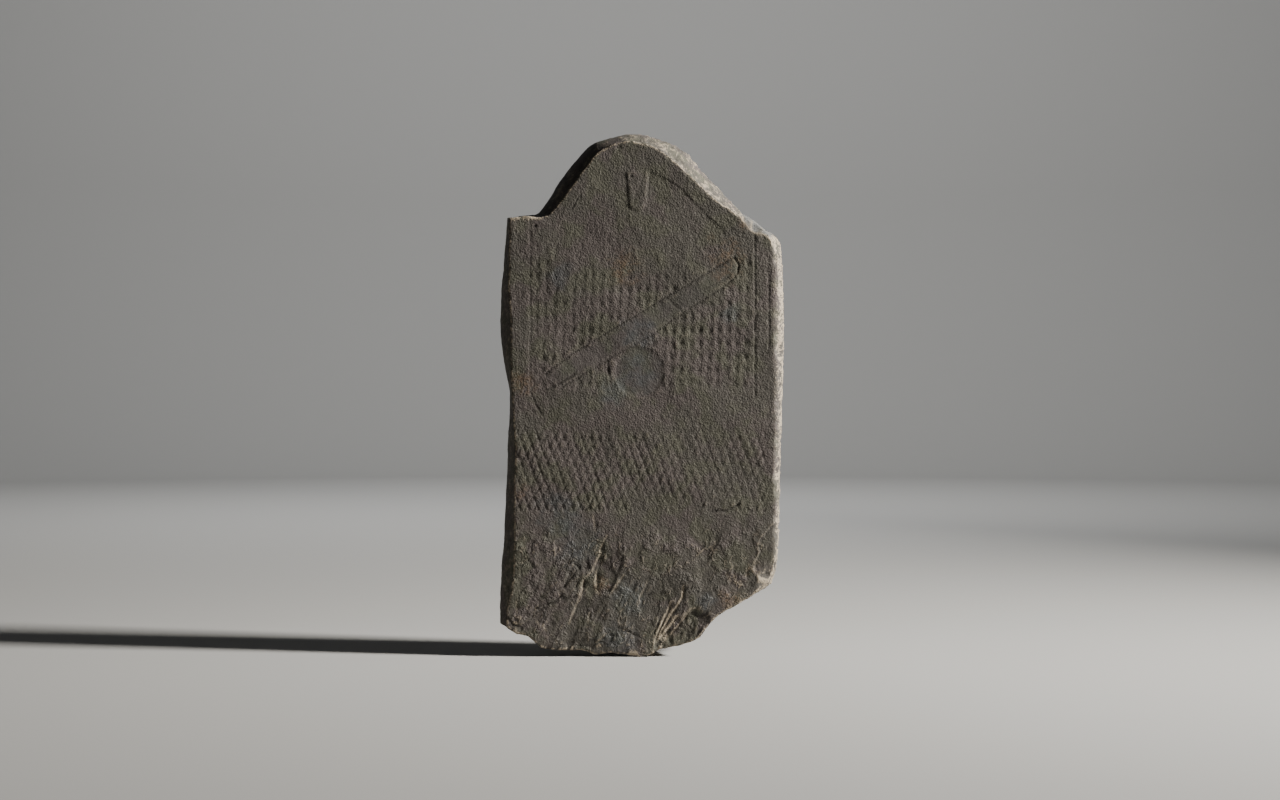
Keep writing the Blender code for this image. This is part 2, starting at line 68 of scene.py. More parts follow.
# Camera: level, square to the front, a little left of the slab's middle line
CAMERA_PLACE = (-0.00425, FRONT - 3.022, 0.4369)
CAMERA_LENS = 50
CAMERA_SENSOR = 36

# Grid of the front, and the bands of the sides; the back and its edge have a third as many lines
COLUMNS = 228
ROWS = 318
COARSE = 3
SPLAY_STEPS = (0.02, 0.05, 0.09, 0.14, 0.20, 0.27, 0.35, 0.44, 0.54, 0.65, 0.77, 0.89, 1.0)
TURN_STEPS = (0.22, 0.45, 0.66, 0.83, 0.94)

# The outline in stretches, clockwise from the foot's left corner. Each has the line of the front's
# edge and the line of the slab's widest ring, which lies behind it, and says whether they are smooth.
OUTLINE = {
    "left flank": (
        (
            (-47.0, 5.9), (-46.7, 9.0), (-44.6, 15.4), (-44.2, 27.0), (-44.0, 40.0),
            (-44.8, 47.1), (-45.4, 56.0), (-45.5, 64.5), (-46.2, 70.0), (-45.9, 83.2),
        ),
        (
            (-49.9, 5.7), (-50.2, 9.5), (-49.4, 15.8), (-48.4, 26.4), (-47.3, 39.0), (-46.6, 48.7),
            (-47.9, 54.1), (-49.6, 59.3), (-49.9, 65.5), (-48.8, 74.5), (-47.6, 83.6),
        ),
        True,
    ),
    "left shoulder": (
        ((-45.9, 83.2), (-40.0, 83.5), (-34.8, 83.3)),
        ((-47.6, 83.6), (-42.3, 84.2), (-37.6, 84.5)),
        False,
    ),
    "head": (
        (
            (-34.8, 83.3), (-32.2, 83.9), (-28.4, 86.2), (-24.6, 89.1), (-20.8, 91.9),
            (-15.5, 95.4), (-8.8, 97.3), (-2.6, 97.6), (5.7, 96.1), (14.7, 92.1),
            (19.4, 89.6), (24.8, 86.8), (33.2, 83.6),
        ),
        (
            (-37.6, 84.5), (-35.6, 85.4), (-31.5, 88.7), (-28.5, 91.2), (-23.3, 95.0),
            (-17.6, 98.0), (-8.4, 99.7), (-3.0, 100.0), (7.3, 99.0), (14.8, 96.8),
            (18.9, 94.5), (24.4, 91.0), (35.6, 84.5),
        ),
        True,
    ),
    "right shoulder": (
        ((33.2, 83.6), (36.4, 83.1), (39.4, 82.0), (42.8, 80.4), (44.6, 79.0)),
        ((35.6, 84.5), (39.6, 83.1), (43.7, 81.1), (46.6, 80.6), (48.5, 79.1)),
        False,
    ),
    "right flank": (
        (
            (44.6, 79.0), (45.3, 75.2), (45.6, 61.9), (45.9, 48.7),
            (45.6, 35.4), (45.6, 24.0), (44.9, 18.4), (43.2, 14.0),
        ),
        (
            (48.5, 79.1), (49.1, 76.0), (49.6, 67.6), (49.7, 58.1), (49.2, 48.7),
            (48.5, 39.2), (48.1, 29.7), (47.6, 22.2), (47.3, 17.8), (46.9, 15.4), (45.5, 13.3),
        ),
        True,
    ),
    "foot": (
        (
            (43.2, 14.0), (36.3, 11.0), (27.4, 8.5), (22.2, 5.5), (19.8, 3.8), (16.3, 2.7),
            (11.2, 1.9), (6.0, 1.3), (0.9, 0.0), (-5.3, 0.4), (-10.8, 0.8), (-16.3, 0.4),
            (-21.5, 1.3), (-30.8, 1.3), (-34.9, 1.7), (-39.4, 4.0), (-43.5, 4.4), (-47.0, 5.9),
        ),
        (
            (45.5, 13.3), (43.4, 12.5), (39.5, 11.4), (36.5, 11.2), (28.0, 9.6), (22.8, 7.2),
            (20.0, 5.2), (16.3, 3.6), (11.2, 3.4), (6.0, 2.4), (0.9, 1.6), (-5.3, 1.9),
            (-10.8, 2.6), (-16.3, 2.0), (-21.5, 2.9), (-30.8, 2.6), (-35.4, 3.2), (-40.4, 4.8),
            (-45.0, 5.0), (-49.9, 5.7),
        ),
        False,
    ),
}
STRETCH_SAMPLES = 300

# Head: the field inside the raised arch, and the nose that hangs into it
FIELD_DEPTH = 0.55 * MM
STEP_WIDTH = 2.1 * MM
FIELD_FADE = 60 * MM
ARCH_TAPER = 45 * MM
ARCH_LINE = (
    (-31.5, 78.0), (-29.0, 81.2), (-26.0, 84.0), (-22.5, 87.0), (-18.5, 89.6), (-13.0, 91.5),
    (-5.5, 92.1), (2.0, 92.1), (7.1, 90.9), (11.9, 89.5), (16.3, 87.3), (19.8, 85.2),
    (23.9, 82.9), (27.4, 81.3), (31.5, 78.0),
)
LEFT_ARCH_SHARE = 0.4
NOSE_RISE = 0.65 * MM
NOSE_ROOT_UP = 92.6
NOSE_TIP_UP = 84.6
NOSE_MIDDLE = -1.7
NOSE_ROOT_WIDTH = 35 * MM
NOSE_TIP_WIDTH = 26 * MM
NOSE_TIP_POINTS = 9

# Border grooves on both sides of the chest
BORDER_GROOVE_WIDTH = 4 * MM
BORDER_GROOVES = (
    (0.5 * MM, ((-38.7, 50.2), (-38.7, 82.2))),
    (0.75 * MM, ((38.7, 48.7), (38.7, 80.0))),
)

# Pecked panel: pits in upright columns, with a low bridge between two pits of a column
PECK_PITCH = 15.6 * MM
PECK_RISE = 23 * MM
PECK_DEPTH = 0.88 * MM
PECK_BRIDGE_SHARE = 0.06
PECK_LEAN = 0.037
PECK_CLEARANCE = 5.2 * MM
PECK_STRAY = 1.1 * MM
LOWEST_LEFT_PECK = (-37.8, 51.6)
PANEL_LEFT = -38.4
PANEL_RIGHT = 38.2
PANEL_BOTTOM = 50.4
PANEL_TOP_LINE = (
    (-40.0, 81.5), (-31.0, 80.5), (-24.0, 76.5), (-12.0, 74.0),
    (8.0, 73.6), (24.0, 72.0), (31.0, 78.0), (40.0, 78.0),
)
PANEL_FADE_UP = 3.0
WORN_PECK_SHARE = 0.75

# Plain strap across the panel, between two cut lines
STRAP_TOP_LINE = ((-34.5, 53.2), (-23.6, 57.6), (21.9, 72.6), (29.6, 75.2))
STRAP_BOTTOM_LINE = (
    (-28.4, 50.9), (-10.2, 56.8), (3.1, 60.8), (10.2, 63.8), (27.4, 69.9), (31.2, 71.6),
)
STRAP_END = ((29.6, 75.2), (31.6, 75.6), (33.2, 74.4), (32.8, 72.6), (31.2, 71.6))
STRAP_LINE_WIDTH = 4.6 * MM
STRAP_LINE_DEPTH = 1.3 * MM

# Disc low on the panel
DISC_MIDDLE = (-1.2, 54.0)
DISC_RADIUS = 42 * MM
DISC_DEPTH = 0.65 * MM
DISC_LINE_WIDTH = 3.6 * MM
DISC_LINE_DEPTH = 0.7 * MM
DISC_CORNERS = 56
DISC_LEFT_SHARE = 0.4

# Field of lozenges between two families of slanted cuts
LOZENGE_WIDTH = 14.9 * MM
LOZENGE_HEIGHT = 29.2 * MM
LOZENGE_DEPTH = 0.8 * MM
LOZENGE_LEAN = 0.142
LOZENGE_CUT_SHARE = 0.24
CLIMBING_CUT_SHARE = 0.9
LOZENGE_STRAY = 1.0 * MM
LOZENGE_LEFT = -44.6
LOZENGE_RIGHT = 43.8
LOZENGE_BOTTOM = 27.2
LOZENGE_TOP = 44.0
LOZENGE_FADE_UP = 2.4

# Flake scars: each is a sunk patch with the depth of its floor, the width of its slope and its outline
RIGHT_FOOT_SPALL = (
    1.7 * MM, 2.1 * MM,
    (
        (45.2, 25.2), (43.7, 24.6), (40.4, 22.5), (39.7, 21.1), (39.9, 19.7),
        (38.2, 17.5), (38.5, 16.1), (40.4, 14.9), (58.0, 14.0), (58.0, 26.0),
    ),
)
RIGHT_FOOT_FACET = (
    6 * MM, 18 * MM,
    ((37.8, 10.5), (39.2, 13.6), (40.8, 16.6), (44.0, 18.4), (58.0, 18.4), (58.0, 5.0), (37.8, 5.0)),
)
SHOULDER_SPALL = (
    2.0 * MM, 2.2 * MM,
    (
        (34.2, 86.0), (34.4, 83.7), (34.6, 82.6), (36.0, 81.8), (37.0, 80.9),
        (38.7, 80.3), (41.3, 80.1), (43.2, 79.5), (47.0, 82.0), (38.0, 88.0),
    ),
)
SHOULDER_STEP = (
    2.0 * MM, 2.2 * MM,
    (
        (38.4, 86.0), (38.3, 82.4), (37.8, 81.6), (37.5, 80.9), (38.9, 80.7),
        (41.3, 80.5), (43.0, 80.0), (47.0, 83.0), (42.0, 88.0),
    ),
)
SHOULDER_TILT = (4.5 * MM, 18 * MM, SHOULDER_SPALL[2])
FOOT_CORNER_SPALL = (
    2.6 * MM, 5 * MM,
    (
        (17.8, 9.2), (14.3, 8.1), (10.8, 6.6), (7.1, 4.7),
        (3.6, 2.3), (3.6, -6.0), (28.0, -6.0), (23.4, 7.9),
    ),
)
FOOT_MIDDLE_SPALL = (
    0.5 * MM, 7 * MM,
    (
        (3.6, 2.3), (-0.9, 3.2), (-9.8, 6.1), (-14.6, 4.2),
        (-26.0, 3.2), (-34.0, 2.2), (-34.0, -6.0), (3.6, -6.0),
    ),
)
DROP_HOLLOW = (
    0.7 * MM, 4 * MM,
    (
        (-16.0, 17.4), (-15.8, 14.0), (-14.0, 11.4), (-10.5, 12.3),
        (-8.4, 15.3), (-10.5, 17.4), (-13.6, 18.4),
    ),
)
LEFT_FOOT_SHELF = (
    0.4 * MM, 6 * MM,
    (
        (-47.0, 24.0), (-36.0, 22.0), (-24.5, 18.4), (-21.4, 17.2),
        (-27.0, 13.0), (-34.0, 9.6), (-40.0, 7.0), (-50.0, 7.0),
    ),
)
LONG_SCAR = (
    0.4 * MM, 4 * MM,
    (
        (-12.2, 23.1), (-14.6, 19.5), (-17.4, 16.3), (-20.3, 14.7), (-21.3, 11.6),
        (-24.0, 8.0), (-19.0, 8.0), (-13.0, 10.0), (-6.0, 18.0), (-7.0, 23.0),
    ),
)
SCARS = (
    RIGHT_FOOT_SPALL, RIGHT_FOOT_FACET, SHOULDER_SPALL, SHOULDER_STEP, SHOULDER_TILT,
    FOOT_CORNER_SPALL, FOOT_MIDDLE_SPALL, DROP_HOLLOW, LEFT_FOOT_SHELF, LONG_SCAR,
)
LAYERED_SCARS = (FOOT_CORNER_SPALL, FOOT_MIDDLE_SPALL)
ROUGH_SCARS = (FOOT_CORNER_SPALL, RIGHT_FOOT_FACET, SHOULDER_SPALL)
ROUGH_SCAR_SIZE = 7 * MM
ROUGH_SCAR_DEPTH = 0.6 * MM
SCAR_STRAY = 0.9 * MM
SCAR_STRAY_SIZE = 14 * MM
BROKEN_LAYERS = 0.5
SWELL_DEPTH = 1.2 * MM
SWELL_WIDTH = 210 * MM
SWELL_HEIGHT = 180 * MM

# Ledges of the flaked foot: a share of LEDGE_DROP and a line, which runs with its lower side on its right
LEDGE_DROP = 1.15 * MM
LEDGE_RISE = 1.9 * MM
LEDGE_FADE = 4.5 * MM
LEDGE_TAPER = 7 * MM
LEDGES = (
    (1.6, ((-14.6, 11.7), (-16.0, 12.9), (-16.0, 16.3))),
    (1.1, ((-25.3, 6.2), (-23.9, 8.1), (-21.5, 11.7), (-20.1, 14.8))),
    (0.9, ((-18.8, 6.4), (-18.1, 8.5))),
    (1.3, ((-10.5, 12.5), (-6.4, 15.5))),
    (1.0, ((-7.7, 6.1), (-8.4, 7.2))),
    (1.4, ((-16.0, 2.7), (-12.6, 4.2))),
    (0.8, ((-29.4, 2.3), (-29.8, 3.2))),
    (0.9, ((-35.6, 5.9), (-36.6, 6.8))),
    (0.9, ((-33.2, 4.9), (-34.2, 5.9))),
    (0.8, ((-43.2, 8.1), (-43.2, 10.8))),
    (1.1, ((-17.4, 16.3), (-14.6, 19.5), (-14.6, 20.4), (-12.2, 23.1))),
    (1.0, ((-21.3, 11.5), (-20.3, 14.7), (-17.4, 16.3))),
    (0.8, ((-16.3, 24.0), (-17.0, 26.9))),
    (1.3, ((33.4, 13.5), (31.4, 15.1))),
    (1.0, ((30.2, 14.4), (28.6, 15.9))),
    (2.2, ((5.7, 4.0), (7.7, 6.2), (10.6, 8.7), (13.4, 11.3), (14.2, 13.5))),
    (1.8, ((3.9, 2.8), (6.2, 6.0), (8.6, 8.6), (9.6, 10.4))),
    (1.9, ((7.0, 4.2), (12.1, 7.8))),
    (1.6, ((9.6, 4.2), (15.4, 8.0))),
    (0.7, ((-1.9, 10.0), (1.7, 14.4))),
    (1.2, ((-23.9, 18.0), (-21.3, 17.2), (-21.5, 15.9))),
    (1.2, ((-19.1, 18.4), (-18.1, 17.0), (-18.1, 16.1))),
    (1.4, ((-22.9, 15.7), (-25.3, 14.2), (-27.7, 12.7))),
    (1.2, ((-21.5, 14.6), (-23.2, 12.7))),
    (1.7, ((-26.7, 11.9), (-30.5, 10.3), (-35.0, 9.5), (-38.4, 8.5))),
    (0.9, ((-24.9, 10.0), (-25.3, 8.5))),
    (0.9, ((-31.5, 7.0), (-30.1, 5.7))),
    (1.2, ((-47.0, 8.1), (-44.6, 6.2), (-40.8, 5.5))),
    (1.1, ((-11.9, 8.7), (-14.3, 6.4))),
    (0.8, ((-9.8, 6.1), (-0.9, 3.8))),
    (1.3, ((34.9, 82.2), (34.6, 83.0), (35.1, 83.9))),
    (1.6, ((37.7, 80.8), (37.3, 81.5), (37.9, 82.4))),
    (1.2, ((-11.9, 4.3), (-8.4, 4.3))),
    (1.0, ((-23.2, 2.3), (-17.0, 2.1))),
    (1.2, ((21.4, 9.1), (23.0, 8.0))),
    (1.0, ((15.8, 9.0), (19.0, 9.3))),
    (1.2, ((10.9, 3.4), (8.9, 2.5))),
    (0.9, ((17.4, 19.0), (18.2, 18.1))),
    (1.0, ((35.0, 15.3), (37.1, 15.8))),
)

# Cracks and scratches: depth, width and line
CRACKS = (
    (1.1 * MM, 3.4 * MM, ((23.4, 27.6), (28.6, 27.6))),
    (1.6 * MM, 3.6 * MM, ((28.6, 27.4), (33.7, 29.1))),
    (0.5 * MM, 4.0 * MM, ((7.7, 68.3), (13.9, 65.3))),
    (0.8 * MM, 4.0 * MM, ((21.5, 72.5), (30.5, 75.2))),
    (0.8 * MM, 4.0 * MM, ((20.8, 69.5), (29.8, 71.9))),
    (1.2 * MM, 4.0 * MM, ((-33.9, 50.4), (-28.4, 51.9), (-23.2, 53.6))),
    (0.5 * MM, 3.6 * MM, ((-26.0, 86.9), (-24.3, 84.8), (-21.9, 87.3))),
    (0.6 * MM, 4.0 * MM, ((-12.2, 55.7), (-10.5, 50.5))),
    (0.7 * MM, 4.0 * MM, ((-38.6, 50.2), (-36.6, 47.7), (-34.9, 45.8))),
    (0.7 * MM, 4.0 * MM, ((43.5, 73.1), (43.5, 58.1))),
    (0.8 * MM, 3.0 * MM, ((-24.0, 16.9), (-26.8, 13.3), (-31.1, 12.3), (-32.9, 11.9))),
    (0.9 * MM, 3.0 * MM, ((-26.8, 11.2), (-29.7, 10.2), (-32.6, 9.8), (-35.4, 8.8), (-37.6, 7.8))),
    (0.9 * MM, 3.0 * MM, ((-9.1, 6.1), (-5.0, 4.9), (-0.9, 3.8))),
    (0.7 * MM, 3.0 * MM, ((-12.6, 9.9), (-15.0, 7.8), (-17.0, 5.6))),
)

# Pits where a blow went deeper than the rest: place, radius and depth
PITS = (
    ((-3.8, 91.0), 5 * MM, 1.0 * MM),
    ((-8.1, 96.6), 7 * MM, 0.8 * MM),
    ((-36.9, 81.6), 5 * MM, 1.0 * MM),
    ((41.6, 27.6), 5 * MM, 1.4 * MM),
)

# Grain and wear of the stone
PEEL_SIZE = 8 * MM
PEEL_DEPTH = 0.24 * MM
PIT_SIZE = 5.4 * MM
PIT_DEPTH = 0.4 * MM
GRIT_DEPTH = 0.07 * MM
DRESSING_BY_UP = ((0, 0.2), (25, 0.25), (28, 0.6), (44, 0.6), (48, 0.55), (52, 0.9), (82, 0.9), (93, 0.6))
RUBBED_SHARE = 0.75
DAPPLE_SIZE = 26 * MM
DAPPLE_DEPTH = 0.35 * MM
STREAK_SIZE = 4.5 * MM
STREAK_STRETCH = 3.2
STREAK_DEPTH = 0.14 * MM
FLAKE_LAYERS = ((60 * MM, 43), (34 * MM, 47))
FLAKE_LEVELS = 1.6
FLAKE_STEP = 0.5 * MM
FLAKE_RISER = 0.1
FLAKE_RUN = 58
FLAKE_STRETCH = 1.9
FLAKES_UP = 26
FLAKES_FADE_UP = 5
FIBRE_SIZE = 19 * MM
FIBRE_STRETCH = 2.0
STROKE_COUNT = 420
STROKE_LENGTH = (7 * MM, 20 * MM)
STROKE_WIDTH = 3.6 * MM
STROKE_DEPTH = (0.15 * MM, 0.5 * MM)
STROKE_CUT_SHARE = 0.7
STROKES_DRAWN_DOWN = (0.35, 1)
STROKE_RUN = 62
STROKE_SPREAD = 26
WAVER_SIZE = 30 * MM
WAVER = 1.1 * MM
SIDE_PEEL_SIZE = 7.5 * MM
SIDE_PEEL = 1.5 * MM
SIDE_PEEL_STARTS = 0.1
SMOOTH_SIDE_SHARE = 0.15
BREAK_LAYER_SIZE = 26 * MM
BREAK_LAYER_WAVE = 4.5 * MM
BACK_FLAKE_SIZE = 120 * MM
BACK_FLAKE_STEP = 2.2 * MM
BACK_FLAKE_RISER = 0.28
BACK_SWELL = 1.4 * MM
HAND_SIZE = 20 * MM
HAND_STRAY = 0.8 * MM
LATTICE = 48
PIT_LATTICE = 97
PIT_RADIUS_SHARE = 0.8

# Depth below the stone about it that counts as one full step of painted shade in the stone's colours
HOLLOW_DEPTH = 0.8 * MM

# How far the dark of a thin line reaches, and how dark each kind of line is: painted shade on the strap's
# sides, the disc's right and the ledges that face away from the light, and darker along the cracks
INCISED_REACH = 2.6 * MM
STRAP_DARK = 0.22
DISC_DARK = 0.7
CRACK_DARK = 1.5
LEDGE_DARK = 0.9

# How far the painted highlight on a ledge that faces the light reaches, and how far behind the front plane
LEDGE_HIGHLIGHT_REACH = 2.3 * MM
LEDGE_HIGHLIGHT_BACK = 12 * MM

# How far the pale wear of the edge reaches onto the front
WORN_EDGE_WIDTH = 3.5 * MM

# How pale the sides are: a little everywhere as worn stone, and more on the right, which faces the light, as
# painted highlight, less on the head than on the flank
LEAST_PALE = 0.06
PALE_BY_UP = ((0, 0.7), (78, 0.75), (83, 0.14), (100, 0.12))
PALE_FROM = 0.15
ROUNDED_PALE_LOSS = 0.8

# Chips along the front's edge
CHIP_COUNT = 90
CHIP_RADIUS = (4 * MM, 12 * MM)
CHIP_DEPTH = (0.5 * MM, 1.6 * MM)
NAMED_CHIPS = (
    ((44.0, 79.8), 8 * MM, 1.6 * MM),
    ((-36.6, 83.3), 10 * MM, 1.6 * MM),
    ((-41.5, 83.2), 8 * MM, 1.2 * MM),
    ((-8.0, 97.9), 11 * MM, 1.6 * MM),
    ((-45.2, 83.0), 9 * MM, 1.2 * MM),
)

# Patches of colour: place and radius
RUSTY_PATCHES = (
    ((-14.0, 13.8), 17 * MM), ((39.5, 22.4), 13 * MM), ((29.6, 11.2), 24 * MM), ((34.6, 81.8), 14 * MM),
    ((28.4, 75.4), 42 * MM), ((-41.5, 51.5), 26 * MM), ((-42.2, 31.6), 20 * MM), ((38.4, 17.0), 16 * MM),
    ((9.0, 4.6), 16 * MM), ((-6.0, 74.0), 34 * MM),
)
SLATY_PATCHES = (
    ((-28.4, 27.0), 44 * MM), ((-10.5, 50.2), 30 * MM), ((-1.5, 61.5), 32 * MM), ((-28.4, 72.0), 26 * MM),
    ((-22.0, 21.0), 40 * MM), ((-4.0, 11.5), 36 * MM), ((21.5, 10.8), 20 * MM), ((-8.0, 3.6), 40 * MM),
    ((30.4, 65.0), 18 * MM), ((-2.0, 54.0), 36 * MM),
)
FRESH_PATCHES = (((36.0, 83.2), 16 * MM), ((39.4, 82.0), 18 * MM), ((42.8, 80.8), 14 * MM))
# Pale patches: in part painted highlight, where the facet of the right foot and the broken tops of the
# shoulders catch the light
PALE_PATCHES = (
    ((42.4, 14.8), 17 * MM), ((9.4, 6.6), 20 * MM), ((6.6, 3.8), 9 * MM), ((-15.0, 2.0), 7 * MM),
    ((-25.0, 1.6), 9 * MM), ((33.0, 14.0), 10 * MM), ((-43.5, 6.2), 12 * MM),
    ((-44.0, 83.1), 8 * MM), ((-40.2, 83.3), 8 * MM), ((-36.6, 83.2), 8 * MM),
    ((34.7, 83.0), 5 * MM), ((37.4, 81.4), 6 * MM), ((6.0, 2.2), 9 * MM), ((-3.0, 0.6), 7 * MM),
)

# What the skin's points keep for the material
KEPT = ("painted_hollow_shade", "near_edge", "rusty", "slaty", "fresh", "pale", "ledge_highlight", "rubbed", "flaked")

# Stone colours
BROWN_GREY = (0.06, 0.0545, 0.046, 1)
ROSY_GREY = (0.069, 0.057, 0.0525, 1)
OLIVE_GREY = (0.0635, 0.061, 0.045, 1)
SLATY_GREY = (0.048, 0.054, 0.057, 1)
RUSTY_BROWN = (0.115, 0.068, 0.034, 1)
# Pale of the worn edges, and of the painted highlights
WORN_AND_LIT_GREY = (0.29, 0.24, 0.175, 1)
FRESH_GREY = (0.086, 0.087, 0.085, 1)
# Dark brown of the specks, and of the painted shade in the hollows, thin lines and flake fibres
SPECK_AND_SHADE_BROWN = (0.026, 0.022, 0.018, 1)
FLECK_GREY = (0.16, 0.15, 0.13, 1)

# Studio
FLOOR_GREY = (0.3, 0.298, 0.29, 1)
ROOM_RADIUS = 9.0
ROOM_BEND = 1.8
ROOM_HEIGHT = 5.0
ROOM_SPOKES = 96
ROOM_RINGS = 40


def on_slab(places):
    """Metres on the slab's front of places in hundredths, as rows of x and z."""
    return np.array(places, float) * (WIDTH / 100, HEIGHT / 100)


def in_hundredths(points):
    """Places in hundredths of points on the slab's front, across and up: the inverse of on_slab."""
    return points[:, 0] / WIDTH * 100, points[:, 1] / HEIGHT * 100


def smooth_curve(line, pieces=12):
    """A curve through the line's points: each stretch is a Catmull-Rom cubic of its four nearest points."""
    padded = np.vstack([2 * line[0] - line[1], line, 2 * line[-1] - line[-2]])
    before, start, end, after = padded[:-3], padded[1:-2], padded[2:-1], padded[3:]
    share = (np.arange(pieces) / pieces)[None, :, None]
    before, start, end, after = (row[:, None, :] for row in (before, start, end, after))
    cubic = (
        2 * start
        + (end - before) * share
        + (2 * before - 5 * start + 4 * end - after) * share**2
        + (3 * start - before - 3 * end + after) * share**3
    ) / 2
    return np.vstack([cubic.reshape(-1, 2), line[-1]])


def evenly(line, count):
    """Points that part the line into so many equal lengths, both ends included."""
    lengths = np.concatenate([[0], np.cumsum(np.linalg.norm(np.diff(line, axis=0), axis=1))])
    wanted = np.linspace(0, lengths[-1], count + 1)
    return np.stack([np.interp(wanted, lengths, line[:, axis]) for axis in (0, 1)], axis=1)


def share_between(value, low, high):
    return np.clip((value - low) / (high - low), 0, 1)


def eased(share):
    """The smooth step 3 s squared less 2 s cubed of a share from 0 to 1."""
    return share * share * (3 - 2 * share)


def nearest_on(points, line):
    """Distance of each point to a broken line, the side it is on, and its way along from the nearer end.

    For each stretch the point is cast onto it, held between its ends, and the nearest stretch wins. The
    side is 1 on the right of the stretch as it runs, and -1 on its left.
    """
    away = np.full(len(points), np.inf)
    side = np.ones(len(points))
    along = np.zeros(len(points))
    lengths = np.linalg.norm(np.diff(line, axis=0), axis=1)
    done = 0.0
    for start, run, length in zip(line[:-1], np.diff(line, axis=0), lengths):
        reach = points - start
        share = np.clip(reach @ run / length**2, 0, 1)
        distance = np.hypot(*(reach - share[:, None] * run).T)
        nearer = distance < away
        away = np.where(nearer, distance, away)
        right = reach[:, 0] * run[1] - reach[:, 1] * run[0]
        side = np.where(nearer, np.where(right >= 0, 1.0, -1.0), side)
        here = done + share * length
        along = np.where(nearer, np.minimum(here, lengths.sum() - here), along)
        done += length
    return away, side, along


def is_within(points, loop):
    """Whether each point lies inside a closed loop: a ray to its right crosses it an odd number of times."""
    x, z = points.T
    crossings = np.zeros(len(points), int)
    for (x0, z0), (x1, z1) in zip(loop, np.roll(loop, -1, axis=0)):
        if z0 != z1:
            crossings += ((z0 > z) != (z1 > z)) & (x < x0 + (z - z0) / (z1 - z0) * (x1 - x0))
    return crossings % 2 == 1


def depth_inside(points, loop):
    """Distance to the loop, counted positive inside it and negative outside."""
    away = nearest_on(points, np.vstack([loop, loop[:1]]))[0]
    return np.where(is_within(points, loop), away, -away)


def noise(points, size, seed):
    """Smooth noise from -1 to 1: random values on a lattice, blended between the eight corners of a cell."""
    values = np.random.default_rng(seed).uniform(-1, 1, (LATTICE,) * 3)
    place = points / size + seed
    cell = np.floor(place).astype(int)
    share = eased(place - cell)
    total = np.zeros(len(points))
    for corner in np.ndindex(2, 2, 2):
        weight = np.where(corner, share, 1 - share).prod(axis=1)
        total += weight * values[tuple((cell + corner).T % LATTICE)]
    return total


def pitting(points, size, seed):
    """Round pits side by side, from 0 on the ridges between them to about 1 in the deepest.

    Each cell of a square lattice holds one pit, at a random place in it and of a random strength. The
    value is the greatest, over the nine cells about a point, of the strength times 1 less the square of
    the distance in pit radii.
    """
    rng = np.random.default_rng(seed)
    places = rng.random((PIT_LATTICE, PIT_LATTICE, 2))
    strengths = rng.uniform(0.35, 1, (PIT_LATTICE, PIT_LATTICE))
    spot = points / size
    cell = np.floor(spot).astype(int)
    deepest = np.zeros(len(points))
    for step in np.ndindex(3, 3):
        here = cell + step - 1
        index = tuple(here.T % PIT_LATTICE)
        away = ((spot - here - places[index]) ** 2).sum(axis=1) / PIT_RADIUS_SHARE**2
        deepest = np.maximum(deepest, strengths[index] * (1 - away))
    return deepest


TURNED = np.array(((0.80, 0.36, -0.48), (-0.60, 0.48, -0.64), (0.0, 0.80, 0.60)))


def layered(points, size, seed, layers=3):
    """Noise with finer noise on it: each further layer is turned, half as large and half as strong."""
    total = np.zeros(len(points))
    for layer in range(layers):
        points = points @ TURNED
        total += noise(points, size / 2**layer, seed + layer) / 2**layer
    return total


def terraces(height, riser):
    """Flat treads with steep risers: the whole part of the height plus a smooth step of what is left."""
    whole = np.floor(height)
    return whole + eased(share_between(height - whole, 1 - riser, 1))


def in_front(points):
    """Points of the front plane in space."""
    return np.stack([points[:, 0], np.zeros(len(points)), points[:, 1]], axis=1)


def stray(points, size, seed, reach):
    """The points moved about smoothly, so that a line drawn through them wavers as by hand."""
    space = in_front(points)
    return points + reach * np.stack([noise(space, size, seed), noise(space, size, seed + 1)], axis=1)


def by_hand(points):
    """The points moved as the carved lines and the cracks waver."""
    return stray(points, HAND_SIZE, 61, HAND_STRAY)


def by_break(points):
    """The points moved as the outlines of the scars and the ledges waver."""
    return stray(points, SCAR_STRAY_SIZE, 41, SCAR_STRAY)


def cut(points, line, width, depth):
    """A rounded V along the line: the depth times an eased share that falls from its middle to its edge."""
    away, _, along = nearest_on(points, line)
    ends = share_between(along, 0, width)
    return depth * eased(np.clip(1 - away / (width / 2 + 0.4 * MM), 0, 1)) * (0.35 + 0.65 * ends)


def nose_loop():
    """The tapered tongue with a round tip, from its root in the arch."""
    middle, tip = on_slab([(NOSE_MIDDLE, NOSE_TIP_UP)])[0]
    root = NOSE_ROOT_UP * HEIGHT / 100
    radius = NOSE_TIP_WIDTH / 2
    turn = np.radians(np.linspace(0, 180, NOSE_TIP_POINTS))
    round_tip = np.stack([middle + radius * np.cos(turn), tip + radius * (1 - np.sin(turn))], axis=1)
    sides = [(middle + NOSE_ROOT_WIDTH / 2, root)], [(middle - NOSE_ROOT_WIDTH / 2, root)]
    return np.vstack([sides[0], round_tip, sides[1]])


def strap_loop():
    """The strap's outline: its top line, its round upper end and its bottom line back again."""
    return on_slab(STRAP_TOP_LINE + STRAP_END[1:] + STRAP_BOTTOM_LINE[-2::-1])


def disc_loop():
    turn = 2 * np.pi * np.arange(DISC_CORNERS) / DISC_CORNERS
    return on_slab([DISC_MIDDLE]) + DISC_RADIUS * np.stack([np.cos(turn), np.sin(turn)], axis=1)


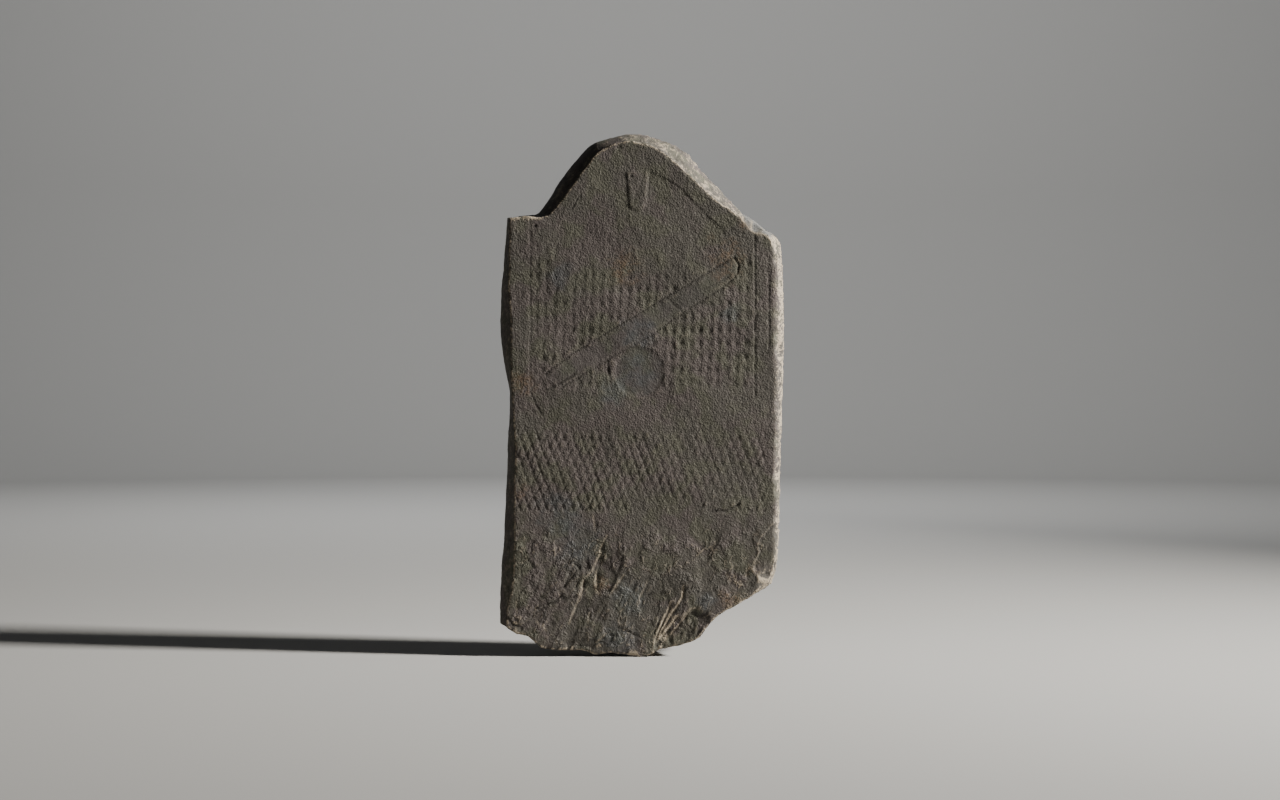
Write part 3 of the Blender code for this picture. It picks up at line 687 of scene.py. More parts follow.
def head_relief(points):
    """A step down inside the arch, which fades into the field, and the nose that stands up in it.

    The step is an eased rise over STEP_WIDTH times an exponential of the distance over FIELD_FADE, and it
    tapers off towards the arch's feet. The arch runs with the field on its right.
    """
    away, side, along = nearest_on(points, smooth_curve(on_slab(ARCH_LINE)))
    inside = away * side
    sunk = eased(share_between(inside, 0, STEP_WIDTH)) * np.exp(-np.maximum(inside, 0) / FIELD_FADE)
    sunk *= eased(share_between(along, 0, ARCH_TAPER))
    on_nose = eased(share_between(depth_inside(points, nose_loop()), -STEP_WIDTH, 0))
    right = LEFT_ARCH_SHARE + (1 - LEFT_ARCH_SHARE) * share_between(points[:, 0] / WIDTH * 100, -12, 4)
    below_arch = share_between(inside, 0, STEP_WIDTH)
    return FIELD_DEPTH * sunk * right * (1 - on_nose) - NOSE_RISE * on_nose * below_arch


def panel_strength(points):
    """1 where the pecked panel is full, falling to 0 at its worn top, and 0 on the strap and the disc."""
    across, up = in_hundredths(points)
    top = np.interp(across, *zip(*PANEL_TOP_LINE)) + 1.4 * noise(in_front(points), 28 * MM, 31)
    full = eased(share_between(top - up, 0, PANEL_FADE_UP))
    clear = np.minimum(-depth_inside(points, strap_loop()), -depth_inside(points, disc_loop()))
    inside = share_between(across - PANEL_LEFT, 0, 1) * share_between(PANEL_RIGHT - across, 0, 1)
    inside = inside * share_between(up - PANEL_BOTTOM, 0, 0.5)
    worn = 1 - (1 - WORN_PECK_SHARE) * share_between(8 - across, 0, 14)
    patchy = 0.85 + 0.35 * noise(in_front(points), 34 * MM, 33)
    return full * inside * worn * patchy * eased(share_between(clear, 0, PECK_CLEARANCE))


def pecks(points):
    """Columns of pits: a cosine across the columns, and one up each column that leaves its bridges."""
    x, z = (stray(points, 17 * MM, 35, PECK_STRAY) - on_slab([LOWEST_LEFT_PECK])[0]).T
    across = (1 + np.cos(2 * np.pi * (x - PECK_LEAN * z) / PECK_PITCH)) / 2
    up = (1 + np.cos(2 * np.pi * z / PECK_RISE)) / 2
    return PECK_DEPTH * across * (PECK_BRIDGE_SHARE + (1 - PECK_BRIDGE_SHARE) * up)


def lozenge_strength(points):
    """1 on the left of the lozenge field, weaker on its worn right, fading out upwards."""
    across, up = in_hundredths(points)
    inside = share_between(across - LOZENGE_LEFT, 0, 1) * share_between(LOZENGE_RIGHT - across, 0, 2)
    inside = inside * share_between(up - LOZENGE_BOTTOM, 0, 0.5)
    worn = 1 - 0.25 * share_between(across, -8, 10)
    patchy = 0.9 + 0.3 * noise(in_front(points), 42 * MM, 37)
    return worn * patchy * inside * share_between(LOZENGE_TOP - up, 0, LOZENGE_FADE_UP)


def lozenges(points):
    """Two families of V-shaped cuts, along whole values of x / width plus or minus z / height. The cuts
    that fall to the right are the deeper ones."""
    corner = on_slab([(LOZENGE_LEFT, LOZENGE_BOTTOM)])[0]
    x, rise = (stray(points, 22 * MM, 39, LOZENGE_STRAY) - corner).T
    across = (x - LOZENGE_LEAN * rise) / LOZENGE_WIDTH
    up = rise / LOZENGE_HEIGHT
    falls, climbs = across + up, across - up
    falling, climbing = (
        eased(np.clip(1 - abs(lines - np.round(lines)) / LOZENGE_CUT_SHARE, 0, 1))
        for lines in (falls, climbs)
    )
    return LOZENGE_DEPTH * np.maximum(falling, CLIMBING_CUT_SHARE * climbing)


def ledge(points, share, line):
    """A flake's edge: on the right of the line the stone drops at once, and climbs back as it goes away.

    The drop is an eased rise over LEDGE_RISE times an exponential of the distance over LEDGE_FADE, and
    it tapers off towards both ends of the line.
    """
    away, side, along = nearest_on(points, line)
    distance = away * side
    drop = eased(share_between(distance, -LEDGE_RISE / 2, LEDGE_RISE / 2))
    fading = np.exp(-np.maximum(distance, 0) / LEDGE_FADE)
    return share * LEDGE_DROP * drop * fading * eased(share_between(along, 0, LEDGE_TAPER))


def foot_relief(points):
    """Scars with their floors and slopes, the ledges, and small flakes in terraces of noise."""
    moved = by_break(points)
    depth = np.zeros(len(points))
    broken = np.zeros(len(points))
    for scar in SCARS:
        floor, slope, loop = scar
        sunk = eased(share_between(depth_inside(moved, on_slab(loop)), 0, slope))
        depth += floor * sunk
        if scar in LAYERED_SCARS:
            broken = np.maximum(broken, sunk)
        if scar in ROUGH_SCARS:
            depth += ROUGH_SCAR_DEPTH * sunk * layered(in_front(points), ROUGH_SCAR_SIZE, 93)
    for share, line in LEDGES:
        depth += ledge(moved, share, on_slab(line))
    return depth + flaked(points) * flakes(points) * (1 + BROKEN_LAYERS * broken)


def flaked(points):
    """1 on the flaked foot, fading to 0 above it."""
    return share_between(FLAKES_UP - in_hundredths(points)[1], 0, FLAKES_FADE_UP)


def flakes(points):
    """Thin flakes over each other: terraced noises, drawn out along the way that the stone splits."""
    run = np.array([np.cos(np.radians(FLAKE_RUN)), np.sin(np.radians(FLAKE_RUN))])
    square = (-run[1], run[0])
    drawn = in_front(np.stack([points @ run / FLAKE_STRETCH, points @ square], axis=1))
    return sum(
        FLAKE_STEP * terraces(FLAKE_LEVELS * layered(drawn, size, seed, 4), FLAKE_RISER)
        for size, seed in FLAKE_LAYERS
    )


def strokes(points):
    """Short scratches and fibres of the stone, mostly climbing to the right: rounded cuts and ridges."""
    rng = np.random.default_rng(63)
    total = np.zeros(len(points))
    low, high = points.min(axis=0), points.max(axis=0)
    for _ in range(STROKE_COUNT):
        middle = rng.uniform(low, high)
        middle[1] = low[1] + (middle[1] - low[1]) * rng.uniform(*STROKES_DRAWN_DOWN)
        turn = np.radians(rng.normal(STROKE_RUN, STROKE_SPREAD))
        half = rng.uniform(*STROKE_LENGTH) / 2 * np.array([np.cos(turn), np.sin(turn)])
        near = np.abs(points - middle).max(axis=1) < STROKE_LENGTH[1]
        depth = rng.uniform(*STROKE_DEPTH) * rng.choice((-1, STROKE_CUT_SHARE))
        total[near] += cut(points[near], np.array([middle - half, middle + half]), STROKE_WIDTH, depth)
    return total


def rubbed(points):
    """1 on the strap and the disc, which are rubbed smooth, 0 elsewhere."""
    inside = np.maximum(depth_inside(points, strap_loop()), depth_inside(points, disc_loop()))
    return eased(share_between(inside, 0, 5 * MM))


def dressing(points):
    """How strong the pits of the dressing are: full in the pecked panel and the head's field, weaker on the
    brow, the belt, the foot and the left border, and nearly none where it is rubbed."""
    across, up = in_hundredths(points)
    strong = np.interp(up, *zip(*DRESSING_BY_UP))
    strong = strong * (1 - 0.4 * share_between(-38.7 - across, 0, 1))
    strong = strong * (1 - RUBBED_SHARE * rubbed(points))
    return strong * (0.9 + 0.35 * noise(in_front(points), 55 * MM, 66))


def grain_relief(points):
    """Pits of the dressing, a peel of soft hollows, wider dapples, and upright streaks in the panel."""
    space = in_front(points)
    streaked = space / (1, 1, STREAK_STRETCH)
    across, up = in_hundredths(points)
    pecked = share_between(up, 48, 52) * share_between(82 - up, 0, 6) * share_between(42 - abs(across), 0, 4)
    return (
        PEEL_DEPTH * layered(space, PEEL_SIZE, 51, 2) * (0.75 + 0.25 * noise(space, 60 * MM, 57))
        + PIT_DEPTH * dressing(points) * pitting(stray(points, 9 * MM, 58, 1.5 * MM), PIT_SIZE, 60)
        + DAPPLE_DEPTH * layered(space, DAPPLE_SIZE, 53, 2)
        + STREAK_DEPTH * pecked * (1 - rubbed(points)) * noise(streaked, STREAK_SIZE, 55)
        + GRIT_DEPTH * np.random.default_rng(59).uniform(-1, 1, len(points))
    )


def strongest_near(points, lines, reach):
    """The greatest share of lines with a share each: full on a line, falling evenly to 0 at the reach."""
    shares = [share * (1 - share_between(nearest_on(points, line)[0], 0, reach)) for share, line in lines]
    return np.max(shares, axis=0)


def ledges_that_go(way):
    """The shares and lines of the ledges that climb as they run, for 1, or of those that fall, for -1."""
    return [(share, on_slab(line)) for share, line in LEDGES if (line[-1][1] - line[0][1]) * way > 0]


def dark_cracks_and_line_shade(points):
    """How dark the thin lines are, in patches: painted shade on the strap's sides, on the right of the disc
    and on the ledges that fall as they run and so face away from the light, and darker along the cracks."""
    disc = disc_loop()
    lines = [(STRAP_DARK, on_slab(line)) for line in (STRAP_TOP_LINE, STRAP_BOTTOM_LINE)]
    lines += [(DISC_DARK, disc[-DISC_CORNERS // 4 :]), (DISC_DARK, disc[: DISC_CORNERS // 4])]
    lines += [(CRACK_DARK, on_slab(line)) for _, _, line in CRACKS]
    lines += [(LEDGE_DARK, line) for _, line in ledges_that_go(-1)]
    patchy = 0.8 + 0.6 * noise(in_front(points), 22 * MM, 65)
    return patchy * strongest_near(by_hand(points), lines, INCISED_REACH)


def ledge_highlights(points):
    """Painted highlight on the ledges that climb and so face the light, and 0 behind the front."""
    palest = strongest_near(by_break(points[:, ::2]), ledges_that_go(1), LEDGE_HIGHLIGHT_REACH)
    return palest * (points[:, 1] < FRONT + LEDGE_HIGHLIGHT_BACK)


def front_depth(points, edge):
    """How far the front lies behind its plane: the sum of its carving, its breaks and its grain, and of a
    rounding at its edge."""
    depth = head_relief(points) + panel_strength(points) * pecks(points)
    hand = by_hand(points)
    for groove_depth, line in BORDER_GROOVES:
        depth += cut(hand, on_slab(line), BORDER_GROOVE_WIDTH, groove_depth)
    for line in (STRAP_TOP_LINE, STRAP_BOTTOM_LINE, STRAP_END):
        depth += cut(hand, on_slab(line), STRAP_LINE_WIDTH, STRAP_LINE_DEPTH)
    disc = disc_loop()
    rim = cut(hand, np.vstack([disc, disc[:1]]), DISC_LINE_WIDTH, DISC_LINE_DEPTH)
    to_right = (points[:, 0] - on_slab([DISC_MIDDLE])[0, 0]) / DISC_RADIUS
    rim *= DISC_LEFT_SHARE + (1 - DISC_LEFT_SHARE) * share_between(to_right, 0, 0.7)
    sunk = DISC_DEPTH * eased(share_between(depth_inside(hand, disc), -STEP_WIDTH / 2, STEP_WIDTH / 2))
    depth += np.maximum(sunk, rim)
    depth += lozenge_strength(points) * lozenges(points)
    depth += foot_relief(points) + strokes(points)
    for crack_depth, width, line in CRACKS:
        depth += cut(hand, on_slab(line), width, crack_depth)
    for place, radius, pit_depth in PITS:
        away = np.hypot(*(points - on_slab([place])[0]).T)
        depth += pit_depth * eased(np.clip(1 - away / radius, 0, 1))
    turn = 2 * np.pi * points / (SWELL_WIDTH, SWELL_HEIGHT)
    depth += SWELL_DEPTH * (1 - np.cos(turn[:, 0]) * np.cos(turn[:, 1])) / 2
    near_edge = 1 - share_between(nearest_on(points, edge)[0], 0, FACE_EDGE_ROUND_WIDTH)
    return depth + grain_relief(points) * (1 - 0.5 * near_edge) + FACE_EDGE_ROUND * near_edge**2


def side_of_outline(names, axis, count):
    """One side of the front and the matching part of the widest ring, at even steps along an axis."""
    fronts, rings = [], []
    for name in names:
        front, ring, is_smooth = OUTLINE[name]
        front, ring = on_slab(front), on_slab(ring)
        if is_smooth:
            front, ring = smooth_curve(front), smooth_curve(ring)
        fronts.append(evenly(front, STRETCH_SAMPLES))
        rings.append(evenly(ring, STRETCH_SAMPLES))
    both = np.hstack([np.vstack(fronts), np.vstack(rings)])
    both = both[np.argsort(both[:, axis], kind="stable")]
    wanted = np.linspace(both[0, axis], both[-1, axis], count + 1)
    picked = np.stack([np.interp(wanted, both[:, axis], both[:, i]) for i in range(4)], axis=1)
    return wavering(picked[:, :2], 0), wavering(picked[:, 2:], 1)


def wavering(line, seed):
    """A line of the outline with small dents and bumps, the same wherever two lines meet."""
    space = in_front(line)
    moved = [layered(space, WAVER_SIZE, 71 + 10 * seed + axis) for axis in (0, 1)]
    return line + WAVER * np.stack(moved, axis=1)


def patch(bottom, right, top, left):
    """Grid inside four sides: the blend across plus the blend upwards less the blend of the corners."""
    u = np.linspace(0, 1, len(bottom))[None, :, None]
    v = np.linspace(0, 1, len(left))[:, None, None]
    across = (1 - u) * left[:, None] + u * right[:, None]
    upwards = (1 - v) * bottom[None] + v * top[None]
    low = (1 - u) * bottom[0] + u * bottom[-1]
    high = (1 - u) * top[0] + u * top[-1]
    return across + upwards - (1 - v) * low - v * high


def loop_of(bottom, right, top, left):
    """The four sides as one closed loop, from the lower left corner to the right along the bottom."""
    return np.concatenate([bottom[:-1], right[:-1], top[:0:-1], left[:0:-1]])


def rim_of(grid):
    """The rim of a grid of vertex numbers, in the same order as loop_of gives its points."""
    return loop_of(grid[0], grid[:, -1], grid[-1], grid[:, 0])


def drawn_in(loop, inset):
    """The loop drawn in towards the slab's middle by the inset at its sides and at its ends."""
    middle = np.array([0, HEIGHT / 2])
    share = 1 - inset / np.array([WIDTH / 2, HEIGHT / 2])
    return middle + (loop - middle) * share


def outwards(loop):
    """Unit directions square to a loop, pointing away from the slab."""
    run = np.roll(loop, -1, axis=0) - np.roll(loop, 1, axis=0)
    run /= np.linalg.norm(run, axis=1)[:, None]
    return np.stack([run[:, 1], -run[:, 0]], axis=1)


def grid_faces(grid):
    """Quads of a grid of vertex numbers, facing forwards."""
    corners = grid[:-1, :-1], grid[:-1, 1:], grid[1:, 1:], grid[1:, :-1]
    return np.stack(corners, axis=-1).reshape(-1, 4)


def band_faces(before, after):
    """Quads between two loops of vertex numbers, facing outwards."""
    return np.stack([before, after, np.roll(after, -1), np.roll(before, -1)], axis=1)


def narrowing_faces(before, after):
    """Triangles between a fine loop and one with a third as many points: four to each coarse step."""
    first, second, third = before[0::COARSE], before[1::COARSE], before[2::COARSE]
    fourth, start, end = np.roll(first, -1), after, np.roll(after, -1)
    fans = (first, start, second), (second, start, end), (second, end, third), (third, end, fourth)
    return np.concatenate([np.stack(fan, axis=1) for fan in fans])


def splayed_rings(face, ring, edge_y, on_foot):
    """Rings from the front's edge to the widest ring, with peel on them and layers in the broken foot.

    The share outwards is 1 less (1 - share backwards) to SPLAY_POWER, so that the sides leave the front
    steeply and reach the widest ring square to it. Where the edge is rounded over, it is a quarter of an
    ellipse instead, done at ROUNDED_SHARE, which leaves ROUNDED_REST of the way to an even slope.
    """
    rounded = roundness(face)[:, None]
    for layer, share in enumerate(SPLAY_STEPS):
        sharp_out = 1 - (1 - share) ** SPLAY_POWER
        round_out = np.sqrt(1 - (1 - min(share / ROUNDED_SHARE, 1)) ** 2)
        round_out += ROUNDED_REST * (share - round_out)
        loop = face + (sharp_out + rounded * (round_out - sharp_out)) * (ring - face)
        y = edge_y + share * (WIDEST - edge_y)
        yield roughened(loop, y, on_foot, layer, eased(share_between(share, 0, SIDE_PEEL_STARTS)))


def roughened(loop, y, on_foot, layer, strength):
    """A ring pushed in and out by noise, and up and down by a wave of its own in the broken foot, and
    how deep each of its points lies in the peel, which the material paints as shade in the deep points and
    as highlight on the high ones. The right side is rougher than the left one."""
    space = np.stack([loop[:, 0], y, loop[:, 1]], axis=1)
    rough = SMOOTH_SIDE_SHARE + (1 - SMOOTH_SIDE_SHARE) * on_right(space)
    peel = layered(space, SIDE_PEEL_SIZE, 81)
    grit = np.random.default_rng(layer).uniform(-1, 1, len(space))
    push = SIDE_PEEL * rough * (peel + 0.3 * grit + 0.4 * noise(space, 30 * MM, 85) - 1)
    own = space + (0, 300 * MM * (layer // 2), 0)
    wave = BREAK_LAYER_WAVE * layered(own, BREAK_LAYER_SIZE, 87) * on_foot
    moved = loop + outwards(loop) * (push * strength)[:, None]
    moved[:, 1] += wave * strength
    return np.stack([moved[:, 0], y, moved[:, 1]], axis=1), -1.2 * (peel + 0.5 * grit) * strength


def roundness(places):
    """1 along the right flank, where the edge is rounded over, and 0 at the shoulder and the foot."""
    across, up = in_hundredths(places)
    return share_between(across, 41, 43.5) * share_between(79 - up, 0, 3) * share_between(up, 13, 18)


def on_right(points):
    """0 on the slab's left side, 1 on its right."""
    return share_between(points[:, 0] / WIDTH * 100, -15, 5)


def turning_rings(ring, on_foot):
    """Coarse rings from the widest ring towards the back, drawn in along a quarter of an ellipse."""
    for layer, share in enumerate(TURN_STEPS):
        loop = drawn_in(ring, BACK_EDGE_ROUND * (1 - np.sqrt(1 - share**2)))
        y = np.full(len(loop), WIDEST + share * (BACK - WIDEST))
        yield roughened(loop, y, on_foot, layer + len(SPLAY_STEPS), 1 - 0.6 * share)


def back_grid(sides):
    """The split back: a grid inside the drawn-in outline, in wide low terraces with a little swell."""
    flat = patch(*(drawn_in(side, BACK_EDGE_ROUND)[::COARSE] for side in sides))
    points = flat.reshape(-1, 2)
    space = in_front(points) + (0, 1, 0)
    depth = BACK_FLAKE_STEP * (2 + terraces(1.6 * layered(space, BACK_FLAKE_SIZE, 91), BACK_FLAKE_RISER))
    depth += BACK_SWELL * (1 + layered(space, 45 * MM, 95)) + 0.5 * MM * layered(space, 14 * MM, 97, 2)
    y = BACK - np.maximum(depth, 0)
    return np.stack([points[:, 0], y, points[:, 1]], axis=1), flat.shape[:2]


def scooped(points, centre, inward, radius, depth):
    """A shell-shaped chip: what lies in a ball outside the stone is pressed inwards onto the ball.

    The ball's middle lies outwards of the chip's middle by its radius less the depth. Along the inward
    direction, a point goes on to the far side of the ball: to the root of the radius squared less its
    distance from the axis squared.
    """
    reach = points - (centre - inward * (radius - depth))
    along = reach @ inward
    off_axis = (reach**2).sum(axis=1) - along**2
    far_side = np.sqrt(np.maximum(radius**2 - off_axis, 0))
    inside = (off_axis < radius**2) & (along < far_side) & (along > -far_side)
    return points + inward * np.where(inside, far_side - along, 0)[:, None]


def chipped(points, rim, outward):
    """The points after the named chips and many small ones along the front's edge."""
    rng = np.random.default_rng(9)
    edge = points[rim]
    chips = []
    for place, spread, depth in NAMED_CHIPS:
        x, z = on_slab([place])[0]
        chips.append((np.argmin(np.hypot(edge[:, 0] - x, edge[:, 2] - z)), spread, depth, 0.8))
    for _ in range(CHIP_COUNT):
        size = rng.random() ** 2
        spread = CHIP_RADIUS[0] + size * (CHIP_RADIUS[1] - CHIP_RADIUS[0])
        depth = CHIP_DEPTH[0] + size * (CHIP_DEPTH[1] - CHIP_DEPTH[0])
        chips.append((rng.integers(len(rim)), spread, depth, rng.uniform(0.4, 1.6)))
    for at, spread, depth, forward in chips:
        inward = -np.array([outward[at, 0], -forward, outward[at, 1]])
        inward /= np.linalg.norm(inward)
        radius = (spread**2 + depth**2) / (2 * depth)
        near = np.abs(points - edge[at]).max(axis=1) < 2 * spread
        points[near] = scooped(points[near], edge[at], inward, radius, depth)
    return points


def patches(points, spots, seed):
    """1 in the middle of the patches, fading to 0 at their ragged edges."""
    flat = points[:, ::2]
    ragged = layered(points, 14 * MM, seed)
    found = np.zeros(len(points))
    for place, radius in spots:
        away = np.hypot(*(flat - on_slab([place])[0]).T) / radius
        found = np.maximum(found, share_between(1.15 - away + 0.35 * ragged, 0, 0.8))
    return eased(found)


def blurred(field, reach):
    """The mean of a grid over a square window, by running sums along both of its axes."""
    for axis in (0, 1):
        pad = [(reach + 1, reach) if a == axis else (0, 0) for a in (0, 1)]
        sums = np.cumsum(np.pad(field, pad, mode="edge"), axis=axis)
        width = 2 * reach + 1
        ahead = np.take(sums, range(width, sums.shape[axis]), axis=axis)
        behind = np.take(sums, range(0, sums.shape[axis] - width), axis=axis)
        field = (ahead - behind) / width
    return field


def stone_skin():
    """The whole skin: front grid, splayed bands, narrowing band, coarse bands and back grid."""
    bottom = side_of_outline(("foot",), 0, COLUMNS)
    right = side_of_outline(("right flank",), 1, ROWS)
    top = side_of_outline(("left shoulder", "head", "right shoulder"), 0, COLUMNS)
    left = side_of_outline(("left flank",), 1, ROWS)
    face_sides, ring_sides = zip(bottom, right, top, left)
    face, ring = loop_of(*face_sides), loop_of(*ring_sides)
    flat = patch(*face_sides)
    points = flat.reshape(-1, 2)
    edge = np.vstack([face[::4], face[:1]])
    depth = front_depth(points, edge)
    front = np.stack([points[:, 0], FRONT + depth, points[:, 1]], axis=1)
    grid = np.arange(len(front)).reshape(flat.shape[:2])
    rim = rim_of(grid)
    on_foot = np.zeros(len(rim))
    on_foot[:COLUMNS] = np.sin(np.pi * np.arange(COLUMNS) / COLUMNS) ** 0.3
    sides = list(splayed_rings(face, ring, front[rim, 1], on_foot))
    sides += turning_rings(ring[::COARSE], on_foot[::COARSE])
    blocks = [front] + [block for block, _ in sides]
    back, back_shape = back_grid(ring_sides)
    starts = np.cumsum([0] + [len(block) for block in blocks])
    vertices = np.vstack(blocks + [back])
    loops = [rim] + [np.arange(a, b) for a, b in zip(starts[1:-1], starts[2:])]
    back_numbers = starts[-1] + np.arange(len(back)).reshape(back_shape)
    loops.append(rim_of(back_numbers))
    quads = [grid_faces(grid), grid_faces(back_numbers)[:, ::-1]]
    triangles = []
    for before, after in zip(loops[:-1], loops[1:]):
        if len(before) == len(after):
            quads.append(band_faces(before, after))
        else:
            triangles.append(narrowing_faces(before, after))
    vertices = chipped(vertices, rim, outwards(face))
    relief = depth.reshape(flat.shape[:2])
    # Painted shade of the front: how far each point lies below the stone about it, and the dark of its thin
    # lines
    on_front = ((relief - blurred(relief, 3)) / HOLLOW_DEPTH).ravel() + dark_cracks_and_line_shade(points)
    painted_hollow_shade = np.concatenate([on_front] + [recess for _, recess in sides] + [np.zeros(len(back))])
    wear_and_highlight = edge_wear_and_lit_side(vertices, points, edge, loops[1:])
    return vertices, np.concatenate(quads), np.concatenate(triangles), painted_hollow_shade, wear_and_highlight


def edge_wear_and_lit_side(vertices, points, edge, loops):
    """How pale the edges are: on the front they are worn pale, falling off away from the edge, and on the
    sides a little worn pale everywhere and a painted highlight on the right side, which faces the light,
    falling off from the edge to the widest ring. It is weaker where the edge is rounded over."""
    wear_and_highlight = np.zeros(len(vertices))
    front = 1 - share_between(nearest_on(points, edge)[0], 0, WORN_EDGE_WIDTH)
    wear_and_highlight[: len(points)] = front * (1 - ROUNDED_PALE_LOSS * roundness(points))
    for loop, share in zip(loops, SPLAY_STEPS):
        places = vertices[loop, ::2]
        pale = LEAST_PALE + on_right(vertices[loop]) * np.interp(in_hundredths(places)[1], *zip(*PALE_BY_UP))
        towards_edge = ROUNDED_PALE_LOSS * roundness(places) * (1 - share_between(share, 0, PALE_FROM))
        wear_and_highlight[loop] = (1 - 0.5 * share) * pale * (1 - towards_edge)
    return wear_and_highlight


def linked(name, data):
    """A new object of the scene with its data."""
    made = bpy.data.objects.new(name, data)
    bpy.context.scene.collection.objects.link(made)
    return made


def stele():
    """The skin as a mesh piece, with what its material reads kept on its points."""
    vertices, quads, triangles, painted_hollow_shade, near_edge = stone_skin()
    mesh = bpy.data.meshes.new("stele_skin")
    mesh.from_pydata(vertices.tolist(), [], quads.tolist() + triangles.tolist())
    mesh.shade_smooth()
    fields = (
        painted_hollow_shade,
        near_edge,
        patches(vertices, RUSTY_PATCHES, 101),
        patches(vertices, SLATY_PATCHES, 105),
        patches(vertices, FRESH_PATCHES, 109) * (vertices[:, 1] > FRONT + 2 * MM),
        patches(vertices, PALE_PATCHES, 113),
        ledge_highlights(vertices),
        rubbed(vertices[:, ::2]),
        flaked(vertices[:, ::2]),
    )
    for name, values in zip(KEPT, fields):
        mesh.attributes.new(name, "FLOAT", "POINT").data.foreach_set("value", values.astype(np.float32))
    mesh.materials.append(schist())
    piece = linked("stele_skin", mesh)
    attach(piece, "root")
    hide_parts("stele")


class Wire:
    """A number socket in a sum: every operator adds a Math node to its material."""

    def __init__(self, nodes, socket):
        self.nodes = nodes
        self.socket = socket

    def sum_with(self, operation, first, second):
        return self.nodes.add("ShaderNodeMath", {"operation": operation}, {0: first, 1: second})

    def __add__(self, other):
        return self.sum_with("ADD", self, other)

    def __radd__(self, other):
        return self.sum_with("ADD", other, self)

    def __sub__(self, other):
        return self.sum_with("SUBTRACT", self, other)

    def __rsub__(self, other):
        return self.sum_with("SUBTRACT", other, self)

    def __mul__(self, other):
        return self.sum_with("MULTIPLY", self, other)

    def __rmul__(self, other):
        return self.sum_with("MULTIPLY", other, self)


class Finish:
    """A material under construction."""

    def __init__(self, name):
        self.material = bpy.data.materials.new(name)
        self.material.use_nodes = True
        self.tree = self.material.node_tree
        self.shader = self.tree.nodes["Principled BSDF"]

    def add(self, kind, settings=None, values=None, output=0):
        """A node with its settings, then the values or links of its sockets, as the wire it gives."""
        node = self.tree.nodes.new(kind)
        for name, value in (settings or {}).items():
            setattr(node, name, value)
        for name, value in (values or {}).items():
            self.feed(node.inputs[name], value)
        return Wire(self, node.outputs[output])

    def feed(self, socket, value):
        if isinstance(value, Wire):
            self.tree.links.new(value.socket, socket)
        else:
            socket.default_value = value

    def mix(self, share, first, second):
        """A colour between two, by a share."""
        return self.add("ShaderNodeMix", {"data_type": "RGBA"}, {0: share, 6: first, 7: second}, output=2)

    def between(self, value, low, high):
        """The eased share of a value between two limits."""
        return self.add(
            "ShaderNodeMapRange", {"interpolation_type": "SMOOTHSTEP"},
            {"Value": value, "From Min": low, "From Max": high},
        )

    def kept(self, name):
        """What the mesh keeps on its points under a name."""
        return self.add("ShaderNodeAttribute", {"attribute_name": name}, output=2)

    def grain(self, place, size, detail=3, roughness=0.6):
        """Noise with features of about a size in metres."""
        return self.add(
            "ShaderNodeTexNoise", {},
            {"Vector": place, "Scale": 1 / size, "Detail": detail, "Roughness": roughness},
        )

    def pits(self, place, size):
        """Round pits of about a size, rising from the middle of each to the ridges between them."""
        return self.add("ShaderNodeTexVoronoi", {}, {"Vector": place, "Scale": 1 / size})


